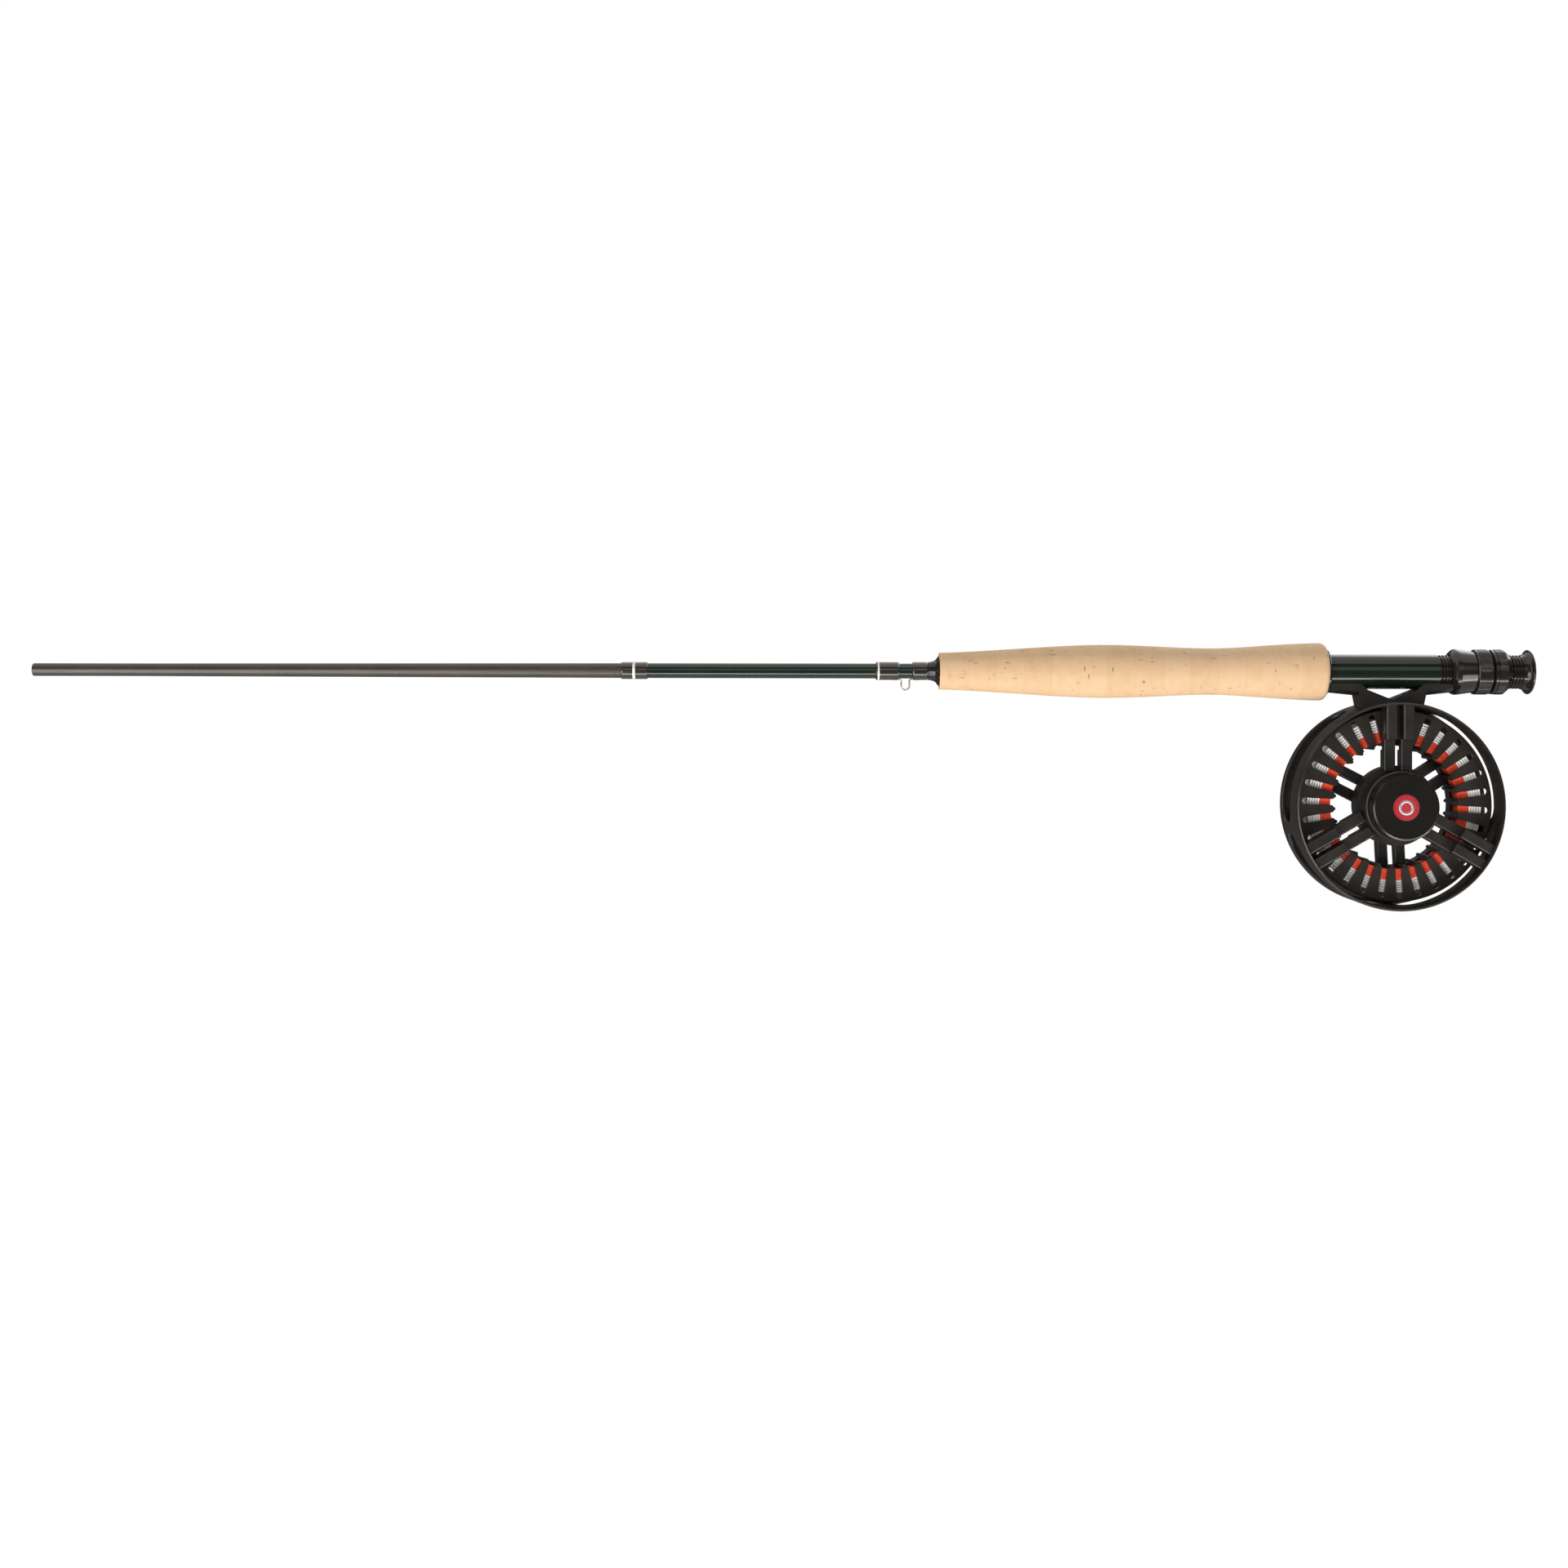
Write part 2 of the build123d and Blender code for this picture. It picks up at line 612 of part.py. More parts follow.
def reel_frame():
    """One-piece frame: rim, ports, three twin-bar spokes and the hub boss."""
    rim = turned_on_reel([
        (RIM_BORE_R, RIM_BACK),
        (RIM_R - 0.3, RIM_BACK),
        (RIM_R, RIM_BACK + 0.3),
        (RIM_R, RIM_FRONT - 1.1),
        (RIM_R - 0.35, RIM_FRONT - 0.3),
        (RIM_R - 0.8, RIM_FRONT),
        (RIM_BORE_R + 0.3, RIM_FRONT),
        (RIM_BORE_R, RIM_FRONT - 0.6),
    ])
    for angle_from, angle_to in PORTS:
        rim -= frame_port(angle_from, angle_to)
    rim = chamfer(port_edges(rim), PORT_CHAMFER)
    boss = tube_on_reel(BOSS_BACK, BOSS_FRONT, BOSS_R, SPINDLE_BORE_R)
    spokes = [frame_spoke(angle) for angle in FRAME_SPOKES]
    web = radial_bar(FRAME_SPOKES[0], 0, FRAME_BAR_GAP + 1, FRAME_BAR_STEP_R, RIM_BORE_R + 0.6,
                     FRAME_BAR_BACK, FRAME_BAR_BACK + 2.5)
    frame = rim + boss + spokes[0] + spokes[1] + spokes[2] + web
    frame -= disc_on_reel(BOSS_BACK - 1, CUP_FLOOR, CUP_R)
    frame -= disc_on_reel(BOSS_FRONT, BOSS_FRONT + 10, HOUSING_R)
    frame -= disc_on_reel(BOSS_BACK - 1, 3, 0.8, PAWL_ANGLE, PAWL_PIVOT_R)
    frame -= REEL.inverse() * foot_screw_holes()
    return frame


# ================================================================ drag and spindle
def spindle():
    """Fixed shaft with the drag's thrust plate and the latch groove."""
    outline = [
        (0, SPINDLE_BACK),
        (SPINDLE_R - 0.8, SPINDLE_BACK),
        (SPINDLE_R, SPINDLE_BACK + 0.6),
        (SPINDLE_R, SPINDLE_GROOVE[0]),
        (SPINDLE_GROOVE_R, SPINDLE_GROOVE[0]),
        (SPINDLE_GROOVE_R, SPINDLE_GROOVE[1]),
        (SPINDLE_R, SPINDLE_GROOVE[1]),
        (SPINDLE_R, THRUST_PLATE[0]),
        (THRUST_PLATE_R, THRUST_PLATE[0]),
        (THRUST_PLATE_R, THRUST_PLATE[1]),
        (SPINDLE_R, THRUST_PLATE[1]),
        (SPINDLE_R, SPINDLE_FRONT - 0.5),
        (SPINDLE_R - 0.5, SPINDLE_FRONT),
        (0, SPINDLE_FRONT),
    ]
    return turned_on_reel(outline)


def drag_housing():
    """Cover of the drag springs, with a pocket for the knob's detent."""
    outline = [
        (HOUSING_BORE_R, BOSS_FRONT),
        (HOUSING_R, BOSS_FRONT),
        (HOUSING_R, RIM_FRONT - 0.5),
        (HOUSING_R - 0.5, RIM_FRONT),
        (HOUSING_HOLE_R, RIM_FRONT),
        (HOUSING_HOLE_R, HOUSING_WALL),
        (HOUSING_BORE_R, HOUSING_WALL),
    ]
    housing = turned_on_reel(outline)
    housing += disc_on_reel(BOSS_FRONT + 3, HOUSING_WALL + 0.2, 2.2, 0, DETENT_R)
    return housing - disc_on_reel(BOSS_FRONT + 4, RIM_FRONT + 1, 1.3, 0, DETENT_R)


def drag_springs():
    """Four dished washers, stacked in pairs, on the spindle."""
    washers = []
    for index in range(4):
        low = BOSS_FRONT + 0.1 + index * 1.0
        inner, outer = (low, low + 0.5) if index % 2 else (low + 0.5, low)
        outline = [(SPINDLE_R + 0.2, inner), (7.5, outer), (7.5, outer + 0.45), (SPINDLE_R + 0.2, inner + 0.45)]
        washers.append(turned_on_reel(outline))
    return Compound(children=washers)


def drag_knob():
    outline = [
        (INSERT_R, KNOB_BACK),
        (KNOB_R - 0.4, KNOB_BACK),
        (KNOB_R, KNOB_BACK + 0.4),
        (KNOB_R, KNOB_FRONT - KNOB_EDGE_ROUND),
        (KNOB_R - KNOB_EDGE_ROUND * 0.3, KNOB_FRONT - KNOB_EDGE_ROUND * 0.3),
        (KNOB_R - KNOB_EDGE_ROUND, KNOB_FRONT),
        (MEDALLION_R, KNOB_FRONT),
        (MEDALLION_R, KNOB_FRONT - 0.6),
        (0, KNOB_FRONT - 0.6),
        (0, KNOB_FRONT - 1.6),
        (INSERT_R, KNOB_FRONT - 1.6),
    ]
    groove = tube_on_reel(KNOB_BACK - 0.1, KNOB_BACK + 0.7, 13.5, 12.5)
    return turned_on_reel(outline) - groove


def drag_knob_insert():
    """Threaded bush pressed in the knob."""
    return tube_on_reel(13.3, KNOB_FRONT - 1.6, INSERT_R, SPINDLE_BORE_R)


def knob_medallion():
    """Plain round disc with one raised ring, set in the knob's face."""
    disc = disc_on_reel(KNOB_FRONT - 0.6, KNOB_FRONT - 0.1, MEDALLION_R)
    return disc + tube_on_reel(KNOB_FRONT - 0.1, KNOB_FRONT + 0.15, 3.4, 2.2)


def clutch_sleeve():
    """Drum that carries the rotor plate, with the sleeve that the clutch grips."""
    outline = [
        (SPINDLE_BORE_R, SLEEVE_BACK),
        (SLEEVE_R, SLEEVE_BACK),
        (SLEEVE_R, -1.5),
        (DRUM_R - 1.0, -1.5),
        (DRUM_R, -0.5),
        (DRUM_R, 5.9),
        (DRUM_R - DRUM_WALL, 5.9),
        (DRUM_R - DRUM_WALL, -0.3),
        (SPINDLE_BORE_R, -0.3),
    ]
    return turned_on_reel(outline)


# ================================================================ spool
def slot_cutters():
    """Radial slots: through the far flange, and through the near flange and down the arbor's wall."""
    slots = []
    near_r = SLOT_OUTER_R - SLOT_WIDTH / 2
    far_r = FAR_SLOT_OUTER_R - SLOT_WIDTH / 2
    near = (NEAR_FLANGE[0] - 1, NEAR_FLANGE[1] + 1)
    far = (FAR_FLANGE[0] - 1, FAR_FLANGE[1] + 1)
    for index in range(SLOT_COUNT):
        angle = SLOT_PHASE + index * 360 / SLOT_COUNT
        slots.append(radial_bar(angle, 0, SLOT_WIDTH, ARBOR_BORE_R - 1, near_r, *near))
        slots.append(disc_on_reel(*near, SLOT_WIDTH / 2, angle, near_r))
        slots.append(radial_bar(angle, 0, SLOT_WIDTH, ARBOR_BORE_R - 1, ARBOR_R + 1, ARBOR_SLOT_BACK, near[1]))
        slots.append(radial_bar(angle, 0, SLOT_WIDTH, SLOT_INNER_R, far_r, *far))
        slots.append(disc_on_reel(*far, SLOT_WIDTH / 2, angle, far_r))
    return slots


def spool_spoke(angle):
    """Twin bars between the hub and the arbor."""
    side = (SPOOL_BAR_GAP + SPOOL_BAR_WIDTH) / 2
    return [radial_bar(angle, offset, SPOOL_BAR_WIDTH, SPOOL_HUB_R - 2, ARBOR_BORE_R + 0.2, *SPOOL_BAR,
                       SPOOL_BAR_ROUND, SPOOL_BAR_ROUND)
            for offset in (-side, side)]


def spool():
    """Hub, three twin-bar spokes, ribbed arbor, two slotted flanges and the palming rim."""
    shell = turned_on_reel([
        (ARBOR_BORE_R, FAR_FLANGE[0]),
        (SKIRT_BORE_R, FAR_FLANGE[0]),
        (SKIRT_BORE_R, PALM_RIM[0] + 0.4),
        (SKIRT_BORE_R + 0.4, PALM_RIM[0]),
        (RIM_R - 0.8, PALM_RIM[0]),
        (RIM_R, PALM_RIM[0] + 0.8),
        (RIM_R, PALM_RIM[1]),
        (FLANGE_R, PALM_RIM[1]),
        (FLANGE_R, FAR_FLANGE[1]),
        (ARBOR_R, FAR_FLANGE[1]),
        (ARBOR_R, NEAR_FLANGE[0]),
        (FLANGE_R, NEAR_FLANGE[0]),
        (FLANGE_R, NEAR_FLANGE[1] - 0.4),
        (FLANGE_R - 0.4, NEAR_FLANGE[1]),
        (ARBOR_BORE_R + 0.3, NEAR_FLANGE[1]),
        (ARBOR_BORE_R, NEAR_FLANGE[1] - 0.3),
    ])
    shell = shell.cut(*slot_cutters())
    ribs = []
    for index in range(SLOT_COUNT):
        angle = RIB_PHASE + index * 360 / SLOT_COUNT
        ribs.append(disc_on_reel(FAR_FLANGE[0], NEAR_FLANGE[1] - 0.3, RIB_R, angle, ARBOR_BORE_R - 0.1))
    hub = disc_on_reel(SPOOL_HUB[0], SPOOL_HUB[1], SPOOL_HUB_R)
    bosses = [disc_on_reel(FAR_FLANGE[0] - 1.5, FAR_FLANGE[1], 5.5, angle, HANDLE_ORBIT_R)
              for angle in (HANDLE_ANGLE, COUNTERWEIGHT_ANGLE)]
    bars = [bar for angle in SPOOL_SPOKES for bar in spool_spoke(angle)]
    body = shell.fuse(*ribs, hub, *bosses, *bars)
    body -= disc_on_reel(-8.6, SPOOL_HUB[1] + 1, CLUTCH_R)
    body -= disc_on_reel(SPOOL_HUB[0] - 1, -8.6, BEARING_R)
    body -= tube_on_reel(GEAR[0], SPOOL_HUB[1] + 1, SPOOL_HUB_R + 3, GEAR_BORE_R)
    for angle in (HANDLE_ANGLE, COUNTERWEIGHT_ANGLE):
        body -= disc_on_reel(FAR_FLANGE[0] - 2, FAR_FLANGE[1] - 0.4, 2.0, angle, HANDLE_ORBIT_R)
    return body


def click_gear():
    """Toothed ring on the spool's hub."""
    blank = tube_on_reel(GEAR[0], GEAR[1], GEAR_TIP_R, GEAR_BORE_R)
    notches = []
    for index in range(GEAR_TEETH):
        angle = (index + 0.5) * 360 / GEAR_TEETH
        notches.append(disc_on_reel(GEAR[0] - 1, GEAR[1] + 1, 0.75, angle, GEAR_TIP_R + 0.05))
    return blank.cut(*notches)


def click_pawl():
    """Lever on a pin, with its tip just outside the gear's tooth tips."""
    eye = disc_on_reel(PAWL[0], PAWL[1] - 0.7, 1.7, PAWL_ANGLE, PAWL_PIVOT_R)
    tip = radial_bar(PAWL_ANGLE, 0, 1.2, PAWL_TIP_R, PAWL_PIVOT_R, PAWL[0], PAWL[0] + 1.0)
    return eye + tip - disc_on_reel(PAWL[0] - 1, PAWL[1] + 1, 0.85, PAWL_ANGLE, PAWL_PIVOT_R)


def spool_bearing():
    """Ball bearing: two races and nine balls."""
    depth_from = SPOOL_HUB[0]
    depth_to = -8.6
    middle = (depth_from + depth_to) / 2
    outer = tube_on_reel(depth_from, depth_to, BEARING_R, 5.5) - torus_on_reel(4.77, 0.85, middle)
    inner = tube_on_reel(depth_from, depth_to, 4.0, SPINDLE_BORE_R) - torus_on_reel(4.77, 0.85, middle)
    balls = [Rot(0, 0, index * 40) * Pos(4.77, 0, middle) * Sphere(0.82) for index in range(9)]
    return Compound(children=[outer, inner] + balls)


def one_way_clutch():
    """Outer race and its rollers, which grip the drum's sleeve one way only."""
    race = tube_on_reel(-8.5, SPOOL_HUB[1] - 0.1, CLUTCH_R, 6.5)
    rollers = [disc_on_reel(-8.2, SPOOL_HUB[1] - 0.4, 0.7, index * 45, 5.77) for index in range(8)]
    return Compound(children=[race] + rollers)


def spool_cap():
    """Dished cover of the latch, open towards the hub, with a window for the button."""
    outline = [
        (0, CAP_BACK),
        (CAP_R - 1.2, CAP_BACK),
        (CAP_R, CAP_BACK + 1.2),
        (CAP_R, SPOOL_HUB[0]),
        (CAP_CAVITY_R, SPOOL_HUB[0]),
        (CAP_CAVITY_R, CAP_BACK + 1.2),
        (0, CAP_BACK + 1.2),
    ]
    window = Pos(-CAP_R, 0, (LATCH[0] + LATCH[1]) / 2) * Box(6, 6.4, 1.6)
    return turned_on_reel(outline) - window


def release_button():
    """Sliding catch: a plate with a keyhole round the spindle's groove, and its push tab."""
    depth = (LATCH[0] + LATCH[1]) / 2
    thickness = LATCH[1] - LATCH[0]
    plate = Pos(-0.8, 0, depth) * Box(13.6, 9.0, thickness)
    tab = Pos(-10.6, 0, depth) * Box(6.4, 5.8, thickness)
    body = plate + tab
    body -= disc_on_reel(LATCH[0] - 1, LATCH[1] + 1, SPINDLE_GROOVE_R + 0.15)
    return body - disc_on_reel(LATCH[0] - 1, LATCH[1] + 1, SPINDLE_R + 0.15, 180, LATCH_TRAVEL)


def latch_spring():
    """Bent leaf between the catch and the cap's wall."""
    leaf = ring_sector(-28, 28, CAP_CAVITY_R - 0.1, CAP_CAVITY_R - 0.4, LATCH[0], LATCH[1])
    return leaf


# ================================================================ handle
def handle_post():
    """Shouldered pin riveted in the spool's flange boss."""
    spigot = disc_on_reel(FAR_FLANGE[0] - 1.5, FAR_FLANGE[1] - 0.4, 2.0, HANDLE_ANGLE, HANDLE_ORBIT_R)
    shaft = disc_on_reel(HANDLE_BACK, FAR_FLANGE[0] - 1.5, HANDLE_POST_R, HANDLE_ANGLE, HANDLE_ORBIT_R)
    bore = disc_on_reel(HANDLE_BACK - 1, HANDLE_BACK + 7, 1.5, HANDLE_ANGLE, HANDLE_ORBIT_R)
    return spigot + shaft - bore


def handle_knob():
    """Waisted grip that spins on the post."""
    start = FAR_FLANGE[0] - 1.9
    length = start - HANDLE_BACK - 0.3
    shape = Spline((6.2, start - 0.6), (4.9, start - length * 0.35), (5.4, start - length * 0.7),
                   (6.0, start - length + 0.8))
    rest = [
        (6.0, start - length + 0.8),
        (5.2, start - length),
        (HANDLE_BORE_R, start - length),
        (HANDLE_BORE_R, start),
        (5.6, start),
        (6.2, start - 0.6),
    ]
    outline = shape + Polyline(*rest)
    knob = revolve(Plane.XZ * make_face(outline), Axis.Z)
    return Rot(0, 0, HANDLE_ANGLE) * Pos(HANDLE_ORBIT_R, 0, 0) * knob


def handle_screw():
    head = disc_on_reel(HANDLE_BACK - 1.6, HANDLE_BACK, 4.4, HANDLE_ANGLE, HANDLE_ORBIT_R)
    shank = disc_on_reel(HANDLE_BACK, HANDLE_BACK + 6, 1.5, HANDLE_ANGLE, HANDLE_ORBIT_R)
    slot = radial_bar(HANDLE_ANGLE, 0, 0.9, HANDLE_ORBIT_R - 5, HANDLE_ORBIT_R + 5, HANDLE_BACK - 2,
                      HANDLE_BACK - 0.9)
    return head + shank - slot


def counterweight():
    slug = turned_on_reel([(0, -15.6), (4.6, -15.6), (5.4, -14.8), (5.4, -11.5), (0, -11.5)])
    body = Rot(0, 0, COUNTERWEIGHT_ANGLE) * Pos(HANDLE_ORBIT_R, 0, 0) * slug
    return body - disc_on_reel(-14.4, -11, 1.6, COUNTERWEIGHT_ANGLE, HANDLE_ORBIT_R)


def counterweight_stud():
    """Stud that holds the weight to the flange boss."""
    upper = disc_on_reel(-14.4, -11.5, 1.6, COUNTERWEIGHT_ANGLE, HANDLE_ORBIT_R)
    return upper + disc_on_reel(-11.5, FAR_FLANGE[1] - 0.4, 2.0, COUNTERWEIGHT_ANGLE, HANDLE_ORBIT_R)


def detent_spring():
    coil = coil_spring(1.0, 0.14, 0.5, 1.9)
    return Pos(DETENT_R, 0, BOSS_FRONT + 4.25) * coil


def pawl_spring():
    """Coil round the pawl's pin."""
    coil = coil_spring(1.15, 0.13, 0.3, 0.45)
    centre = Rot(0, 0, PAWL_ANGLE) * Pos(PAWL_PIVOT_R, 0, PAWL[1] - 0.5)
    return centre * coil


# ================================================================ write the rod
blank = rod_blank()
keeper = hook_keeper()
save(blank, "rod_blank")
save(wrap(UPPER_WRAP, UPPER_WRAP_R), "upper_whipping")
save(tube_on_rod(*UPPER_TRIM, UPPER_WRAP_R + TRIM_THICKNESS, UPPER_WRAP_R), "upper_trim_band")
save(wrap(KEEPER_WRAP_FRONT, KEEPER_WRAP_R) - keeper, "keeper_whipping_front")
save(wrap(KEEPER_WRAP_REAR, KEEPER_WRAP_R) - keeper, "keeper_whipping_rear")
save(tube_on_rod(*LOWER_TRIM, KEEPER_WRAP_R + TRIM_THICKNESS, KEEPER_WRAP_R), "lower_trim_band")
save(keeper, "hook_keeper")
save(winding_check(), "winding_check")
save(cork_grip(), "cork_grip")
save(fixed_hood(), "fixed_hood")
save(seat_barrel(), "seat_barrel")
save(seat_arbors(), "seat_arbors")
save(sliding_hood(), "sliding_hood")
save(hood_snap_ring(), "hood_snap_ring")
save(lock_nut_front(), "lock_nut_front")
save(lock_nut_rear(), "lock_nut_rear")
save(butt_cap(), "butt_cap")
save(butt_pad(), "butt_pad")
save(reel_foot(), "reel_foot")
save(foot_screws(), "foot_screws")

# ================================================================ write the reel
save_on_reel(reel_frame(), "reel_frame")
save_on_reel(spindle(), "spindle")
save_on_reel(drag_housing(), "drag_housing")
save_on_reel(drag_springs(), "drag_springs")
save_on_reel(tube_on_reel(12.3, 13.2, THRUST_WASHER_R, SPINDLE_R + 0.2), "thrust_washer")
save_on_reel(tube_on_reel(5.95, CUP_FLOOR, 11.0, SPINDLE_R + 0.3), "friction_disc_front")
save_on_reel(tube_on_reel(THRUST_PLATE[1], 4.85, 10.8, SPINDLE_R + 0.3), "friction_disc_rear")
save_on_reel(torus_on_reel((DRUM_R + CUP_R) / 2, 0.44, 0.3), "hub_seal")
save_on_reel(disc_on_reel(PAWL[0] - 0.2, 3, 0.8, PAWL_ANGLE, PAWL_PIVOT_R), "pawl_pin")
save_on_reel(Pos(DETENT_R, 0, 15.7) * Sphere(1.25), "detent_ball")
save_on_reel(detent_spring(), "detent_spring")

save_on_reel(drag_knob(), "drag_knob")
save_on_reel(drag_knob_insert(), "drag_knob_insert")
save_on_reel(knob_medallion(), "knob_medallion")
save_on_reel(torus_on_reel(13.0, 0.38, KNOB_BACK + 0.2), "knob_o_ring")

save_on_reel(tube_on_reel(4.9, 5.9, DRUM_R - DRUM_WALL, SPINDLE_R + 0.4), "rotor_plate")
save_on_reel(clutch_sleeve(), "clutch_sleeve")

save_on_reel(spool(), "spool")
save_on_reel(tube_on_reel(*WINDING, BACKING_R, ARBOR_R + WINDING_GAP), "backing_winding")
save_on_reel(tube_on_reel(*WINDING, LINE_R, BACKING_R), "fly_line_winding")
save_on_reel(click_gear(), "click_gear")
save_on_reel(spool_bearing(), "spool_bearing")
save_on_reel(one_way_clutch(), "one_way_clutch")
save_on_reel(spool_cap(), "spool_cap")
save_on_reel(latch_spring(), "latch_spring")
save_on_reel(release_button(), "release_button")
save_on_reel(handle_post(), "handle_post")
save_on_reel(handle_screw(), "handle_screw")
save_on_reel(counterweight(), "counterweight")
save_on_reel(counterweight_stud(), "counterweight_stud")
save_on_reel(handle_knob(), "handle_knob")
save_on_reel(click_pawl(), "click_pawl")
save_on_reel(pawl_spring(), "pawl_spring")
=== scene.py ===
"""Looks of a fly rod's butt section, with its cork grip, reel seat and fly reel.

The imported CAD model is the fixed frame. The rod lies along X with its butt at +X, the reel hangs
below it, and the reel's axis runs along Y. Every length in this file is in metres. Sizes that a
maker would read in millimetres are written as a number times MM.
"""

import json
import logging
import math
import random
from dataclasses import dataclass, field
from enum import Enum

import bmesh
import bpy
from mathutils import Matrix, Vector

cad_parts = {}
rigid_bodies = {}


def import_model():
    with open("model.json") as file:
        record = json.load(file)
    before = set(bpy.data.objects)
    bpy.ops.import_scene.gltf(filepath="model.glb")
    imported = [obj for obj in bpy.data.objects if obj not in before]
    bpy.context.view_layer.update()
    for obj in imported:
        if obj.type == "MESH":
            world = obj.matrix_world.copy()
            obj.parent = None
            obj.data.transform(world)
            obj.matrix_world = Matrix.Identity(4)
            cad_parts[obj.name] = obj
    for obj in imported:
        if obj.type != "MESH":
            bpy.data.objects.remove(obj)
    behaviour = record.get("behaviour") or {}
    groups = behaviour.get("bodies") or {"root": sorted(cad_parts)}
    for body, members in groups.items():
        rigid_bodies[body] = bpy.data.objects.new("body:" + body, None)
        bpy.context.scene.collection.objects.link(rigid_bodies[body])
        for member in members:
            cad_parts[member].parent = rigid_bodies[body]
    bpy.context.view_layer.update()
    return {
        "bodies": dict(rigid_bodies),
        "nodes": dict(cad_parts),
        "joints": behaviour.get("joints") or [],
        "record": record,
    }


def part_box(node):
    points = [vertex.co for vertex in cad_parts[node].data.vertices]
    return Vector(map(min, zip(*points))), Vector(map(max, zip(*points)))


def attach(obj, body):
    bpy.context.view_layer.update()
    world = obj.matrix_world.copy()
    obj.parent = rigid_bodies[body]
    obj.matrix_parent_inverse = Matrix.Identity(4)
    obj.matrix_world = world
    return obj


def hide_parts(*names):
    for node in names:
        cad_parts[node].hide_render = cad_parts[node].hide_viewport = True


MM = 0.001
ON_AXIS = 1e-7
STRAND_SIDES = 8
LOG = logging.getLogger("fly_rod")

Colour = tuple[float, float, float]
Point = tuple[float, float, float]
Range = tuple[float, float]
Outline = list[tuple[float, float]]
Socket = bpy.types.NodeSocket
Mesh = bpy.types.Mesh
Piece = bpy.types.Object


class Lathe(Enum):
    """The two axes that turned pieces are made about."""

    ROD = "rod"
    REEL = "reel"


class Knurl(Enum):
    """Pattern rolled into a nut's rim."""

    DIAMOND = "diamond"
    FINE = "fine"


def reel_centre() -> Vector:
    """Point on the reel's axis at the rod's own plane, from the spindle's box."""
    low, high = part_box("spindle")
    return Vector(((low.x + high.x) / 2, 0.0, (low.z + high.z) / 2))


def smooth_between(value: float, low: float, high: float) -> float:
    """Share of the way from low to high, eased at both ends."""
    share = min(max((value - low) / (high - low), 0.0), 1.0)
    return share * share * (3 - 2 * share)


# ---------------------------------------------------------------- node trees
class Nodes:
    """A node tree that is built by short calls."""

    def __init__(self, tree: bpy.types.NodeTree) -> None:
        """Takes the tree to build in."""
        self.tree = tree

    def add(self, kind: str, inputs: dict | None = None, **settings: object) -> bpy.types.Node:
        """Adds one node.

        Args:
            kind: The node's type name.
            inputs: An input's identifier, name or number, to a plain value or to a socket that feeds it.
            settings: Properties of the node itself.

        Returns:
            The new node.
        """
        node = self.tree.nodes.new(kind)
        for key, value in settings.items():
            setattr(node, key, value)
        for key, value in (inputs or {}).items():
            self.feed(self.find(node.inputs, key), value)
        return node

    def feed(self, socket: Socket, value: object) -> None:
        """Links a socket to another, or writes a plain value or an opaque colour in it."""
        if isinstance(value, Socket):
            self.tree.links.new(value, socket)
        else:
            socket.default_value = (*value, 1.0) if socket.type == "RGBA" else value

    @staticmethod
    def find(sockets: bpy.types.bpy_prop_collection, key: str | int) -> Socket:
        """A socket by its identifier, or else by its name or number."""
        for socket in sockets:
            if socket.identifier == key:
                return socket
        return sockets[key]

    def calculate(self, operation: str, *values: object) -> Socket:
        """One arithmetic step on numbers, sockets or fields."""
        return self.add("ShaderNodeMath", dict(enumerate(values)), operation=operation).outputs[0]


